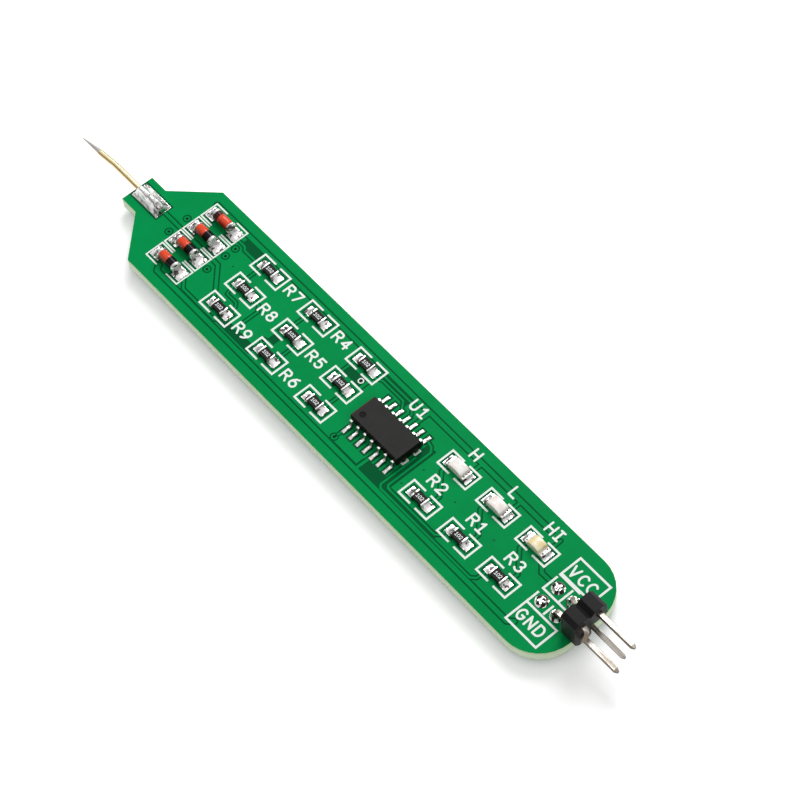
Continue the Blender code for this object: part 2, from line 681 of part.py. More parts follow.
MASK_GREEN = make_material("mask_green", (0.0, 0.30, 0.075), 0.35)
TIN = make_material("tin", (0.78, 0.77, 0.75), 0.28, 0.9)
GOLD = make_material("gold_plate", (0.90, 0.72, 0.38), 0.25, 1.0)
DIODE_GLASS = make_material("orange_glass", (0.75, 0.17, 0.05), 0.12)
CHIP_BLACK = make_material("chip_black", (0.02, 0.02, 0.02), 0.4)
LAMP_WHITE = make_material("lamp_white", (0.80, 0.80, 0.78), 0.4)
LENS_CLEAR = make_material("lens_clear", (0.88, 0.87, 0.80), 0.15)
MOULDING_GREY = make_material("moulding_grey", (0.035, 0.035, 0.037), 0.55)
HOUSING_BLACK = make_material("housing_black", (0.03, 0.03, 0.032), 0.45)

make_board(MASK_GREEN)
make_needle(GOLD, TIN)
make_diodes(DIODE_GLASS, TIN)
make_resistors(CHIP_BLACK)
make_lamps(LAMP_WHITE, LENS_CLEAR)
make_ic_body(MOULDING_GREY)
make_ic_leads(TIN)
make_housing(HOUSING_BLACK)
make_pins(TIN)
make_joints(TIN)
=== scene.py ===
"""Looks of the logic probe: its laminate, copper, solder mask, print, solder and components, and the studio.

Metres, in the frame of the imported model. Artwork is laid out in millimetres from the middle of the
integrated circuit, along the board towards the header and across it towards the lamps.
"""
import math

import bmesh
import bpy
from mathutils import Matrix, Quaternion, Vector, noise


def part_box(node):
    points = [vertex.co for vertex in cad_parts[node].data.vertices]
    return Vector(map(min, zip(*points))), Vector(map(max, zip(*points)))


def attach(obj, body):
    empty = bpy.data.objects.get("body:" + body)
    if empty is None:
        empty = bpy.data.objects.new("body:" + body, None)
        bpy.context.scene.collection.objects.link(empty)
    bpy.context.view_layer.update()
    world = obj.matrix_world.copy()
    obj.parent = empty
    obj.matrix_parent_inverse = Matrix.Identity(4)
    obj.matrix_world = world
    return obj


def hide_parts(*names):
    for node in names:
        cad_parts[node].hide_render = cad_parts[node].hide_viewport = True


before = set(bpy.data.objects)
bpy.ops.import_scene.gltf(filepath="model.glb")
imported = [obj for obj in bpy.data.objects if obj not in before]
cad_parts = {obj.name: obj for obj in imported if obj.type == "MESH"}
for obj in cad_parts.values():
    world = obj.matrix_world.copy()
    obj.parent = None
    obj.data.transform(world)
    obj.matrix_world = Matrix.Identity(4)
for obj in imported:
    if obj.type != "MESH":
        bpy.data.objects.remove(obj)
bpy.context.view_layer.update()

# Circuit board
# A sheet of woven glass and epoxy, 1.6 mm thick, routed to its outline. The cut sides show the pale
# laminate in fine layers, and the drilled holes go right through.

MM = 0.001
board_low, board_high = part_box("circuit_board")
chip_low, chip_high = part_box("ic_body")
ORIGIN_X = (chip_low.x + chip_high.x) / 2
BOARD_MIDDLE = (board_low.z + board_high.z) / 2
LAMINATE_LAYER = 0.16 * MM
LAMINATE_WEAVE = 1.4 * MM
LAMINATE_RELIEF = 0.02 * MM
GREEN_IN_LAYERS = 0.35
GREEN_NEAR_MASK = 0.65
LAMINATE_PALE = (0.82, 0.92, 0.70, 1)
LAMINATE_GREEN = (0.50, 0.76, 0.38, 1)


class Signal:
    """A shader socket that takes part in Python arithmetic: an operator adds the Math node it stands for."""

    def __init__(self, tree, socket):
        self.tree = tree
        self.socket = socket

    def node(self, kind, settings=None, inputs=None, output=0):
        """Add any node: its settings go on first, then each input takes a value or another signal."""
        made = self.tree.nodes.new(kind)
        for name, value in (settings or {}).items():
            setattr(made, name, value)
        for key, value in (inputs or {}).items():
            if isinstance(value, Signal):
                self.tree.links.new(value.socket, made.inputs[key])
            else:
                made.inputs[key].default_value = value
        return Signal(self.tree, made.outputs[output])

    def math(self, operation, first, second):
        return self.node("ShaderNodeMath", {"operation": operation}, {0: first, 1: second})

    def __add__(self, other):
        return self.math("ADD", self, other)

    def __sub__(self, other):
        return self.math("SUBTRACT", self, other)

    def __rsub__(self, other):
        return self.math("SUBTRACT", other, self)

    def __mul__(self, other):
        return self.math("MULTIPLY", self, other)

    __radd__ = __add__
    __rmul__ = __mul__

    def part(self, axis):
        """One coordinate of a place."""
        return self.node("ShaderNodeSeparateXYZ", None, {0: self}, "XYZ".index(axis))

    def scaled(self, scale):
        """A place with its axes stretched, so that a pattern on it is squeezed."""
        return self.node("ShaderNodeMapping", None, {"Vector": self, "Scale": scale})

    def grain(self, size, detail=2.0):
        """Noise from 0 to 1 whose patches are about this big."""
        return self.node("ShaderNodeTexNoise", None, {"Vector": self, "Scale": 1 / size, "Detail": detail})

    def between(self, low, high):
        """0 at low, 1 at high and smooth in between."""
        return self.node("ShaderNodeMapRange", {"interpolation_type": "SMOOTHSTEP"},
                         {"Value": self, "From Min": low, "From Max": high})

    def tint(self, first, second):
        """The first colour where this is 0 and the second where it is 1."""
        return self.node("ShaderNodeMix", {"data_type": "RGBA"}, {0: self, 6: first, 7: second}, 2)

    def relief(self, depth):
        """A surface normal for bumps of this depth."""
        return self.node("ShaderNodeBump", None, {"Height": self, "Distance": depth})

    def upright(self, level=0.8, steep=0.4):
        """0 where the surface faces up and 1 where it stands upright or faces down."""
        facing = self.node("ShaderNodeNewGeometry", None, None, 1)
        return facing.part("Z").between(level, steep)


def make_finish(name, plain):
    """A material with its plain values on the shader's own sockets, and the place of each point on it."""
    finish = bpy.data.materials.new(name)
    finish.use_nodes = True
    tree = finish.node_tree
    for socket, value in plain.items():
        tree.nodes["Principled BSDF"].inputs[socket].default_value = value
    coordinates = tree.nodes.new("ShaderNodeTexCoord")
    return finish, Signal(tree, coordinates.outputs["Object"])


def feed(finish, signals):
    """Link what varies over the surface into the finish's shader."""
    shader = finish.node_tree.nodes["Principled BSDF"]
    for socket, signal in signals.items():
        finish.node_tree.links.new(signal.socket, shader.inputs[socket])


laminate, place = make_finish("laminate", {"Roughness": 0.6})
layers = place.scaled((1, 1, LAMINATE_WEAVE / LAMINATE_LAYER)).grain(LAMINATE_WEAVE, 3)
mask_edge = place.part("Z").between(BOARD_MIDDLE, board_high.z)
greening = layers.between(0.4, 0.7) * GREEN_IN_LAYERS + mask_edge * GREEN_NEAR_MASK
feed(laminate, {
    "Base Color": greening.tint(LAMINATE_PALE, LAMINATE_GREEN),
    "Normal": layers.relief(LAMINATE_RELIEF),
})
board_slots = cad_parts["circuit_board"].data.materials
board_slots.clear()
board_slots.append(laminate)

# Copper and solder mask
# Foil is etched into tracks and flooded areas, with a bare gap round each, and green mask is printed
# over all of it. Copper stands high and pale under the mask, and the gaps lie low and dark.

MASK_BASE = 0.012 * MM
COPPER_RISE = 0.035 * MM
MASK_SLOPE = 0.2 * COPPER_RISE
OVERCUT = 0.1 * MM
TRACK_GAP = 0.2
TRACK_STEP = 0.001 * MM
RUN_SIDES = 12
MERGE_DISTANCE = 1e-7
FLAT_ANGLE = math.radians(0.5)
FACE_LIMIT = 0.9
MASK_CLOUD = 6 * MM
MASK_MOTTLE = 0.5 * MM
MASK_SMEAR = 0.3 * MM
MASK_RIPPLE = 0.25 * MM
MASK_RIPPLE_DEPTH = 0.004 * MM
MASK_OVER_LAMINATE = (0.0, 0.095, 0.028, 1)
MASK_DARK = (0.0, 0.235, 0.058, 1)
MASK_LIGHT = (0.0, 0.29, 0.074, 1)
HOLE_RADIUS = 0.2
VIA_RING_RADIUS = 0.40
VIA_CLEARANCE_RADIUS = 0.60
VIA_CLEARANCE_LENGTH = 0.01
VIA_SIDES = 24
LAMP_PITCH = 6.95

# Plated holes, each with a ring of copper
VIAS = [(-41.3, 1.755), (-41.3, -1.155), (-33.5, -1.155), (-33.5, 1.755), (-33.5, 3.355), (-20.44, -2.615),
        (-4.0, -4.89)]
# Small holes that the mask closes
FILLED_HOLES = [(-31.6, 1.5), (6.7, 0.05), (12.5, -0.05), (19.4, -0.05), (6.3, -3.05), (5.95, -4.65)]

# Each track has a width and the corners that it runs through
TRACKS = [
    (0.62, [(-40.4, 5.85), (-20.0, 5.83), (23.0, 5.68)]),
    (0.62, [(-38.1, -5.2), (-37.6, -5.89), (28.3, -5.89), (28.9, -5.3)]),
    (0.30, [(-34.6, -3.9), (-33.2, -5.15), (-27.0, -5.15), (-26.5, -4.8)]),
    (0.45, [(-44.4, 0.24), (-33.1, 0.24), (-30.3, -2.3), (-29.6, -3.2)]),
    (0.30, [(-34.3, 4.44), (-33.0, 4.44), (-32.5, 4.04), (-29.6, 4.04)]),
    (0.30, [(-29.0, 4.2), (-29.0, 0.6)]),
    (0.30, [(-19.7, 4.2), (-19.7, 0.6)]),
    (0.30, [(-10.6, 4.2), (-10.6, 0.6)]),
    (0.30, [(-17.2, 0.3), (-17.2, -3.5)]),
    (0.30, [(-26.2, 0.2), (-24.9, 0.2), (-24.2, -0.5), (-24.2, -4.2)]),
    (0.30, [(-8.0, 0.2), (-8.0, -3.5)]),
    (0.25, [(-29.3, -0.2), (-28.9, -1.6), (-27.1, -1.6), (-26.6, -2.1), (-26.6, -2.7)]),
    (0.25, [(-7.4, 5.0), (-1.2, 5.0), (-0.1, 3.9), (-0.1, 3.2)]),
    (0.25, [(-7.2, 3.9), (-6.1, 4.44), (-2.3, 4.44), (-1.3, 3.4)]),
    (0.40, [(1.15, 3.2), (1.2, 5.8)]),
    (0.40, [(1.15, -3.2), (1.1, -5.9)]),
    (0.25, [(-3.85, -3.2), (-4.0, -4.89)]),
    (0.28, [(3.8, 3.0), (4.9, 2.75), (5.45, 2.2), (5.45, -4.4), (5.8, -4.7), (14.2, -4.7), (14.7, -4.2),
            (14.7, -3.3)]),
    (0.28, [(4.75, 0.4), (4.75, -4.95), (5.15, -5.35), (21.2, -5.35), (21.8, -4.8), (21.9, -3.4)]),
    (0.45, [(24.6, 2.9), (25.2, 2.2), (26.3, 1.2), (29.0, 1.25)]),
]
for lamp in range(3):
    shift = lamp * LAMP_PITCH
    TRACKS.append((0.35, [(8.25 + shift, 3.0), (8.25 + shift, 1.5), (10.75 + shift, -1.0),
                          (10.75 + shift, -2.8)]))
    TRACKS.append((0.35, [(10.75 + shift, 3.1), (10.75 + shift, 5.6)]))

# Areas etched bare, as the lowest and highest corner of each
BARE_AREAS = [
    (-33.6, 4.3, -30.2, 5.45), (-26.8, -5.2, -20.2, -3.95), (-10.3, 1.75, -7.4, 3.0), (-6.4, 4.15, -1.5, 5.3),
    (4.4, -5.2, 5.9, 2.7), (5.2, -5.3, 14.6, -4.35), (1.45, -5.5, 4.7, -3.9), (-20.3, -2.1, -19.1, -1.0),
]
# Single gaps that part one flooded area from another
PARTING_GAPS = [
    [(-6.9, 3.2), (-6.9, 1.6)],
    [(0.75, -4.3), (0.75, -5.4), (-3.5, -5.4)],
]


def spot(x, y, z=0.0):
    """A place on the board from its artwork millimetres and a height in metres."""
    return Vector((ORIGIN_X + x * MM, y * MM, z))


def add_run(bm, start, end, width, low, high):
    """A straight run with round ends, standing from one height to another."""
    start, end = spot(*start), spot(*end)
    along = end - start
    turn = Matrix.Rotation(math.atan2(along.y, along.x) + math.pi / RUN_SIDES, 4, "Z")
    disc = bmesh.ops.create_circle(bm, cap_ends=True, segments=RUN_SIDES, radius=width * MM / 2,
                                   matrix=Matrix.Translation((start.x, start.y, low)) @ turn)
    ahead = [vert for vert in disc["verts"] if (vert.co - start).xy.dot(along.xy) > 0]
    bmesh.ops.translate(bm, verts=ahead, vec=along)
    raise_faces(bm, disc["verts"][0].link_faces, high - low)


def raise_faces(bm, faces, height):
    """Turn flat faces into a solid of this height."""
    raised = bmesh.ops.extrude_face_region(bm, geom=list(faces))
    verts = [item for item in raised["geom"] if isinstance(item, bmesh.types.BMVert)]
    bmesh.ops.translate(bm, verts=verts, vec=(0, 0, height))


def add_path(bm, corners, width, low, high, step=0.0):
    """Runs from corner to corner. A step lifts each run over the one before, so no two tops share a plane."""
    for number, (start, end) in enumerate(zip(corners, corners[1:])):
        add_run(bm, start, end, width, low, high + step * number)


def add_block(bm, low_corner, high_corner, low, high):
    """An upright block between two corners of the artwork."""
    corner, opposite = spot(*low_corner, low), spot(*high_corner, high)
    size = opposite - corner
    shape = Matrix.Translation((corner + opposite) / 2) @ Matrix.Diagonal((*size, 1))
    return bmesh.ops.create_cube(bm, size=1, matrix=shape)["verts"]


def add_piece(name, bm, finishes, stands_for=(), smooth_below=None):
    """Turn a bmesh into a finished piece of the probe."""
    bmesh.ops.recalc_face_normals(bm, faces=bm.faces)
    mesh = bpy.data.meshes.new(name)
    bm.to_mesh(mesh)
    bm.free()
    if smooth_below is not None:
        mesh.shade_smooth()
        mesh.set_sharp_from_angle(angle=math.radians(smooth_below))
    for finish in finishes:
        mesh.materials.append(finish)
    piece = bpy.data.objects.new(name, mesh)
    bpy.context.scene.collection.objects.link(piece)
    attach(piece, "root")
    if stands_for:
        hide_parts(*stands_for)
    return piece


def solid_of(node):
    """A copy of a CAD node's solid with its points merged and its flat faces whole."""
    bm = bmesh.new()
    bm.from_mesh(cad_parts[node].data)
    bmesh.ops.remove_doubles(bm, verts=bm.verts, dist=MERGE_DISTANCE)
    bmesh.ops.dissolve_limit(bm, angle_limit=FLAT_ANGLE, verts=bm.verts, edges=bm.edges)
    return bm


def board_face(side):
    """The board's upper face for side 1, or its lower one for side -1, with its drilled holes."""
    bm = solid_of("circuit_board")
    others = [face for face in bm.faces if face.normal.z * side < FACE_LIMIT]
    bmesh.ops.delete(bm, geom=others, context="FACES")
    return bm


def etched(sheet, gaps):
    """The sheet with every gap cut into it. Gaps may cross each other."""
    objects = []
    for name, bm in (("sheet", sheet), ("gaps", gaps)):
        bmesh.ops.recalc_face_normals(bm, faces=bm.faces)
        mesh = bpy.data.meshes.new(name)
        bm.to_mesh(mesh)
        bm.free()
        objects.append(bpy.data.objects.new(name, mesh))
        bpy.context.scene.collection.objects.link(objects[-1])
    cut = objects[0].modifiers.new("etch", "BOOLEAN")
    cut.object = objects[1]
    cut.operation = "DIFFERENCE"
    cut.solver = "EXACT"
    cut.use_self = True
    graph = bpy.context.evaluated_depsgraph_get()
    result = bmesh.new()
    result.from_mesh(objects[0].evaluated_get(graph).to_mesh())
    for item in objects:
        bpy.data.objects.remove(item)
    return result


MASK_TOP = board_high.z + MASK_BASE + COPPER_RISE
GAP_FLOOR = board_high.z + MASK_BASE
CUT_TOP = MASK_TOP + OVERCUT

sheet = board_face(1)
raise_faces(sheet, sheet.faces, MASK_TOP - board_high.z)
gaps = bmesh.new()
for width, corners in TRACKS:
    add_path(gaps, corners, width + 2 * TRACK_GAP, GAP_FLOOR, CUT_TOP)
for corners in PARTING_GAPS:
    add_path(gaps, corners, TRACK_GAP, GAP_FLOOR, CUT_TOP)
for x0, y0, x1, y1 in BARE_AREAS:
    add_block(gaps, (x0, y0), (x1, y1), GAP_FLOOR, CUT_TOP)
for x, y in VIAS:
    add_run(gaps, (x, y), (x + VIA_CLEARANCE_LENGTH, y), 2 * VIA_CLEARANCE_RADIUS, GAP_FLOOR, CUT_TOP)

# Every soldered pad has a gap round it, and its own tinned copper. It is given by its inner and outer
# distance from the component's middle and by half its width, and the needle's pad by its corners.
CHIP_PAD = (0.62, 1.95, 0.64)
LAMP_PAD = (1.1, 2.1, 0.78)
DIODE_PAD = (1.35, 2.9, 0.88)
IC_PAD = (2.6, 3.68, 0.25)
NEEDLE_PAD = (-49.14, -1.12, -44.03, 1.34)
PAD_CLEARANCE = 0.22


def node_middle(node):
    """Where the middle of a CAD node lies on the artwork."""
    low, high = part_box(node)
    middle = (low + high) / 2
    return (middle.x - ORIGIN_X) / MM, middle.y / MM


resistor_names = [f"resistor_{number:02d}" for number in range(1, 13)]
lamp_names = ["lamp_high", "lamp_low", "lamp_floating"]
diode_names = [f"diode_{number}" for number in range(1, 5)]
lead_names = [f"ic_lead_{number:02d}" for number in range(1, 15)]
lead_y = node_middle("ic_body")[1]

pads = []
for names, node_end, (inner, outer, half) in (
    (resistor_names, "", CHIP_PAD), (lamp_names, "_base", LAMP_PAD), (diode_names, "_glass", DIODE_PAD),
):
    for name in names:
        x, y = node_middle(name + node_end)
        pads.append((x - outer, y - half, x - inner, y + half))
        pads.append((x + inner, y - half, x + outer, y + half))
inner, outer, half = IC_PAD
for name in lead_names:
    x, y = node_middle(name)
    side = math.copysign(1, y - lead_y)
    ends = sorted((lead_y + side * inner, lead_y + side * outer))
    pads.append((x - half, ends[0], x + half, ends[1]))
pads.append(NEEDLE_PAD)
for x0, y0, x1, y1 in pads:
    add_block(gaps, (x0 - PAD_CLEARANCE, y0 - PAD_CLEARANCE), (x1 + PAD_CLEARANCE, y1 + PAD_CLEARANCE),
              GAP_FLOOR, CUT_TOP)

mask_bm = etched(sheet, gaps)
for number, (width, corners) in enumerate(TRACKS):
    add_path(mask_bm, corners, width, board_high.z, MASK_TOP, TRACK_STEP * (1 + number % 3))
for x, y in VIAS:
    rims = {}
    for radius in (HOLE_RADIUS, VIA_RING_RADIUS):
        rim = bmesh.ops.create_circle(mask_bm, segments=VIA_SIDES, radius=radius * MM,
                                      matrix=Matrix.Translation(spot(x, y, board_high.z)))
        rims.update((edge, radius) for vert in rim["verts"] for edge in vert.link_edges)
    ring = bmesh.ops.bridge_loops(mask_bm, edges=list(rims))
    raise_faces(mask_bm, ring["faces"], MASK_TOP - board_high.z)

solder_mask, place = make_finish("solder_mask", {"Specular IOR Level": 0.02})
height = place.part("Z").between(GAP_FLOOR + MASK_SLOPE, MASK_TOP - MASK_SLOPE)
clouds = place.grain(MASK_CLOUD, 3).between(0.3, 0.7)
flood = (clouds * 0.5 + place.grain(MASK_MOTTLE, 4) * 0.5).tint(MASK_DARK, MASK_LIGHT)
feed(solder_mask, {
    "Base Color": height.tint(MASK_OVER_LAMINATE, flood),
    "Roughness": place.grain(MASK_SMEAR, 3) * 0.2 + 0.24,
    "Normal": place.grain(MASK_RIPPLE, 3).relief(MASK_RIPPLE_DEPTH),
})
add_piece("solder_mask_upper", mask_bm, [solder_mask])

# Solder side
# The lower face of the board has the same mask over one flooded area. It is parted by two tracks that bring
# supply and ground from the header, and by two short links near the diodes.

LOWER_TOP = board_low.z - MASK_BASE - COPPER_RISE
LOWER_FLOOR = board_low.z - MASK_BASE
LOWER_CLOUD = 3 * MM
LOWER_TRACKS = [
    (0.8, [(29.1, 1.27), (25.0, 1.27), (22.0, 4.2), (-33.5, 4.2), (-33.5, 3.355)]),
    (0.8, [(29.1, -1.27), (25.0, -1.27), (21.0, -4.89), (-4.0, -4.89)]),
    (0.4, [(-41.3, 1.755), (-41.3, -1.155), (-33.5, -1.155)]),
    (0.4, [(-33.5, 1.755), (-30.0, 0.0), (-22.0, 0.0), (-20.44, -2.615)]),
]
lower = board_face(-1)
raise_faces(lower, lower.faces, -(MASK_BASE + COPPER_RISE))
lower_gaps = bmesh.new()
for width, corners in LOWER_TRACKS:
    add_path(lower_gaps, corners, width + 2 * TRACK_GAP, LOWER_TOP - OVERCUT, LOWER_FLOOR)
lower_bm = etched(lower, lower_gaps)
for number, (width, corners) in enumerate(LOWER_TRACKS):
    add_path(lower_bm, corners, width, LOWER_TOP + TRACK_STEP * number, board_low.z)
lower_mask, place = make_finish("solder_mask_lower", {"Roughness": 0.34, "Specular IOR Level": 0.1})
height = place.part("Z").between(LOWER_FLOOR - MASK_SLOPE, LOWER_TOP + MASK_SLOPE)
flood = place.grain(LOWER_CLOUD, 4).tint(MASK_DARK, MASK_LIGHT)
feed(lower_mask, {
    "Base Color": height.tint(MASK_OVER_LAMINATE, flood),
    "Normal": place.grain(MASK_RIPPLE, 3).relief(MASK_RIPPLE_DEPTH),
})
add_piece("solder_mask_underside", lower_bm, [lower_mask])

# Tinned pads
# Where the mask is left open, the copper pads are levelled with tin, which is bright and slightly wavy.
# Solder starts a hair below the top of its pad.

PAD_TOP = MASK_TOP + 0.008 * MM
SOLDER_FOOT = PAD_TOP - 0.01 * MM
TIN_WAVE = 0.7 * MM
TIN_RELIEF = 0.07 * MM
TIN_DULL = (0.80, 0.77, 0.77, 1)
TIN_BRIGHT = (0.97, 0.95, 0.94, 1)
TIN_PAINTED_DARK_REFLECTION = (0.14, 0.12, 0.12, 1)

tin, place = make_finish("solder_tin", {"Metallic": 1.0})
waves = place.grain(TIN_WAVE, 2)
# Narrow dark streaks are painted into the tin's colour as painted dark reflections, and the same streaks also
# dent its surface.
dents_and_painted_dark_reflection = place.scaled((1.3, 0.8, 1)).grain(TIN_WAVE, 1).between(0.57, 0.63)
bright = waves.between(0.3, 0.7).tint(TIN_DULL, TIN_BRIGHT)
feed(tin, {
    "Base Color": dents_and_painted_dark_reflection.tint(bright, TIN_PAINTED_DARK_REFLECTION),
    "Roughness": waves * 0.2 + 0.16,
    "Normal": (waves - dents_and_painted_dark_reflection * 0.4).relief(TIN_RELIEF),
})
pads_bm = bmesh.new()
for x0, y0, x1, y1 in pads:
    add_block(pads_bm, (x0, y0), (x1, y1), board_high.z, PAD_TOP)
add_piece("tinned_pads", pads_bm, [tin])

# White print
# Screen-printed epoxy ink marks each component's outline and its name. It stands a hair above the mask.

INK_LINE = 0.28
OUTLINE_LINE = 0.26
DIODE_LINE = 0.2
INK_BASE = MASK_TOP - 0.005 * MM
INK_TOP = MASK_TOP + 0.02 * MM
INK_STEP = 0.0006 * MM
INK_DULL = (0.76, 0.82, 0.78, 1)
INK_WHITE = (0.88, 0.90, 0.88, 1)
CAP_HEIGHT = 1.38
LETTER_GAP = 0.42
ARC_STEP = 20


def arc(centre_x, centre_y, radius_x, radius_y, start, end):
    """Points of an arc on the letter's own grid, in short steps from one angle in degrees to another."""
    steps = max(2, round(abs(end - start) / ARC_STEP))
    turns = [math.radians(start + (end - start) * step / steps) for step in range(steps + 1)]
    return [(centre_x + radius_x * math.cos(turn), centre_y + radius_y * math.sin(turn)) for turn in turns]


# The strokes of each letter, one capital's height tall
LETTERS = {
    "R": [[(0, 0), (0, 1), (0.4, 1), *arc(0.42, 0.75, 0.25, 0.25, 90, -90), (0, 0.5)],
          [(0.36, 0.5), (0.68, 0)]],
    "U": [[(0, 1), *arc(0.33, 0.32, 0.33, 0.32, 180, 360), (0.66, 1)]],
    "H": [[(0, 0), (0, 1)], [(0.68, 0), (0.68, 1)], [(0, 0.5), (0.68, 0.5)]],
    "L": [[(0, 1), (0, 0), (0.62, 0)]],
    "I": [[(0.22, 0), (0.22, 1)], [(0, 1), (0.44, 1)], [(0, 0), (0.44, 0)]],
    "V": [[(0, 1), (0.34, 0), (0.68, 1)]],
    "C": [arc(0.36, 0.5, 0.36, 0.5, 45, 315)],
    "G": [[*arc(0.36, 0.5, 0.36, 0.5, 45, 330), (0.68, 0.45), (0.42, 0.45)]],
    "N": [[(0, 0), (0, 1), (0.64, 0), (0.64, 1)]],
    "D": [[(0, 0), (0, 1), (0.3, 1), *arc(0.3, 0.5, 0.38, 0.5, 90, -90), (0, 0)]],
    "0": [arc(0.32, 0.5, 0.32, 0.5, 90, 450)],
    "1": [[(0.08, 0.76), (0.34, 1), (0.34, 0)], [(0.06, 0), (0.62, 0)]],
    "2": [[*arc(0.32, 0.7, 0.31, 0.3, 165, -35), (0, 0), (0.66, 0)]],
    "3": [[*arc(0.3, 0.75, 0.29, 0.25, 150, -75), *arc(0.3, 0.27, 0.33, 0.27, 75, -150)]],
    "4": [[(0.5, 0), (0.5, 1), (0, 0.3), (0.68, 0.3)]],
    "5": [[(0.6, 1), (0.08, 1), (0.04, 0.55), *arc(0.3, 0.32, 0.33, 0.32, 125, -150)]],
    "6": [[(0.52, 1), (0.24, 0.84), (0.05, 0.56), *arc(0.32, 0.31, 0.32, 0.31, 180, 540)]],
    "7": [[(0, 1), (0.66, 1), (0.22, 0)]],
    "8": [arc(0.32, 0.76, 0.27, 0.24, -90, 270), arc(0.32, 0.27, 0.33, 0.27, 90, 450)],
    "9": [[*arc(0.32, 0.69, 0.32, 0.31, 0, 360), (0.58, 0.42), (0.38, 0.14), (0.12, 0)]],
}


def add_word(bm, word, left, base, cap, gap, line, low, high):
    """Letters drawn stroke by stroke. Each stroke lies a hair above the one that it crosses."""
    for letter in word:
        strokes = LETTERS[letter]
        top = high
        for stroke in strokes:
            corners = [(left + x * cap, base + y * cap) for x, y in stroke]
            add_path(bm, corners, line, low, top, INK_STEP)
            top += INK_STEP * len(corners)
        letter_width = max(x for stroke in strokes for x, _ in stroke)
        left += letter_width * cap + gap * cap


def add_outline(bm, x, y, length, width, gap, thickness, low, high):
    """A component's outline as two brackets with a gap between them on the long sides."""
    half, side, line = length / 2, width / 2, thickness / 2
    for end in (-1, 1):
        outer, inner = sorted((x + end * (half + line), x + end * (half - line)))
        add_block(bm, (outer, y - side - line), (inner, y + side + line), low, high)
        near, far = sorted((x + end * gap / 2, x + end * half))
        for edge in (-1, 1):
            add_block(bm, (near, y + edge * side - line), (far, y + edge * side + line), low, high + INK_STEP)


# Each word with the left end of its base line
WORDS = [
    ("R7", -24.45, 3.78), ("R8", -24.45, -0.32), ("R9", -24.45, -4.32),
    ("R4", -15.15, 3.82), ("R5", -15.15, -0.28), ("R6", -15.15, -4.32),
    ("U1", -1.25, 4.42), ("H", 8.85, 5.28), ("L", 15.85, 5.28), ("HI", 22.25, 5.22),
    ("R2", 8.15, -0.72), ("R1", 15.25, -0.72), ("R3", 22.1, -0.82),
    ("VCC", 28.35, 3.38), ("GND", 28.35, -4.72),
]
# Length, width and gap of each kind of outline
CHIP_OUTLINE = (4.99, 2.46, 0.85)
DIODE_OUTLINE = (6.17, 2.58, 1.9)
# Boxes round the header's names and its four solder joints, as the two ends of each line
HEADER_LINES = [
    (27.9, 5.79, 33.05, 5.79), (27.9, 2.84, 33.05, 2.84),
    (27.9, 2.84, 27.9, 5.79), (33.05, 2.84, 33.05, 5.79),
    (27.9, -2.5, 33.05, -2.5), (27.9, -5.7, 33.05, -5.7),
    (27.9, -5.7, 27.9, -2.5), (33.05, -5.7, 33.05, -2.5),
    (27.9, 2.64, 31.2, 2.64), (27.9, 0.0, 32.2, 0.0),
    (27.9, 0.0, 27.9, 2.1), (30.45, 0.25, 30.45, 2.2),
    (27.9, -0.5, 27.9, -2.5), (30.45, -0.5, 30.45, -2.4),
]
# Two hooks at the end of the integrated circuit, and a ring, each round a small hole
HOOKED_HOLES = [(4.05, 1.0), (4.05, -0.9)]
HOOK_REACH = 0.4
RINGED_HOLE = (-7.9, 2.5)
RING_RADIUS = 0.33
RING_LINE = 0.15

ink_bm = bmesh.new()
for word, left, base in WORDS:
    add_word(ink_bm, word, left, base, CAP_HEIGHT, LETTER_GAP, INK_LINE, INK_BASE, INK_TOP)
for names, node_end, outline, line in (
    (resistor_names, "", CHIP_OUTLINE, OUTLINE_LINE), (lamp_names, "_base", CHIP_OUTLINE, OUTLINE_LINE),
    (diode_names, "_glass", DIODE_OUTLINE, DIODE_LINE),
):
    for name in names:
        add_outline(ink_bm, *node_middle(name + node_end), *outline, line, INK_BASE, INK_TOP)
half = INK_LINE / 2
for number, (x0, y0, x1, y1) in enumerate(HEADER_LINES):
    add_block(ink_bm, (x0 - half, y0 - half), (x1 + half, y1 + half), INK_BASE,
              INK_TOP + INK_STEP * (number % 4))
for x, y in HOOKED_HOLES:
    corners = [(x, y + HOOK_REACH), (x + HOOK_REACH, y + HOOK_REACH), (x + HOOK_REACH, y - HOOK_REACH),
               (x, y - HOOK_REACH)]
    add_path(ink_bm, corners, OUTLINE_LINE, INK_BASE, INK_TOP, INK_STEP)
ring = arc(*RINGED_HOLE, RING_RADIUS, RING_RADIUS, 0, 360)
add_path(ink_bm, ring, RING_LINE, INK_BASE, INK_TOP, INK_STEP)

white_ink, place = make_finish("white_print", {"Roughness": 0.55})
feed(white_ink, {
    "Base Color": place.grain(0.2 * MM, 3).tint(INK_DULL, INK_WHITE),
    "Normal": place.grain(0.08 * MM, 2).relief(0.004 * MM),
})
add_piece("white_print", ink_bm, [white_ink])

# Filled holes
# Small holes closed with mask show as low buttons. Plated ones are capped by a dark disc, painted shade for
# the inside of the hole. Both lie level with the mask.

HOLE_SIDES = 20
BUTTON_TOP_RADIUS = 0.12
BUTTON_HEIGHT = 0.02
OPEN_TOP_RADIUS = 0.19
OPEN_HEIGHT = 0.012
BUTTON_DARK = (0.0, 0.10, 0.03, 1)
BUTTON_LIGHT = (0.0, 0.17, 0.05, 1)
OPEN_DARK = (0.0, 0.012, 0.004, 1)
OPEN_LIGHT = (0.0, 0.035, 0.012, 1)


def add_button(bm, x, y, top_radius, height):
    """A low round button at the mouth of a hole."""
    bmesh.ops.create_cone(bm, cap_ends=True, segments=HOLE_SIDES, radius1=HOLE_RADIUS * MM,
                          radius2=top_radius * MM, depth=height * MM,
                          matrix=Matrix.Translation(spot(x, y, MASK_TOP)))


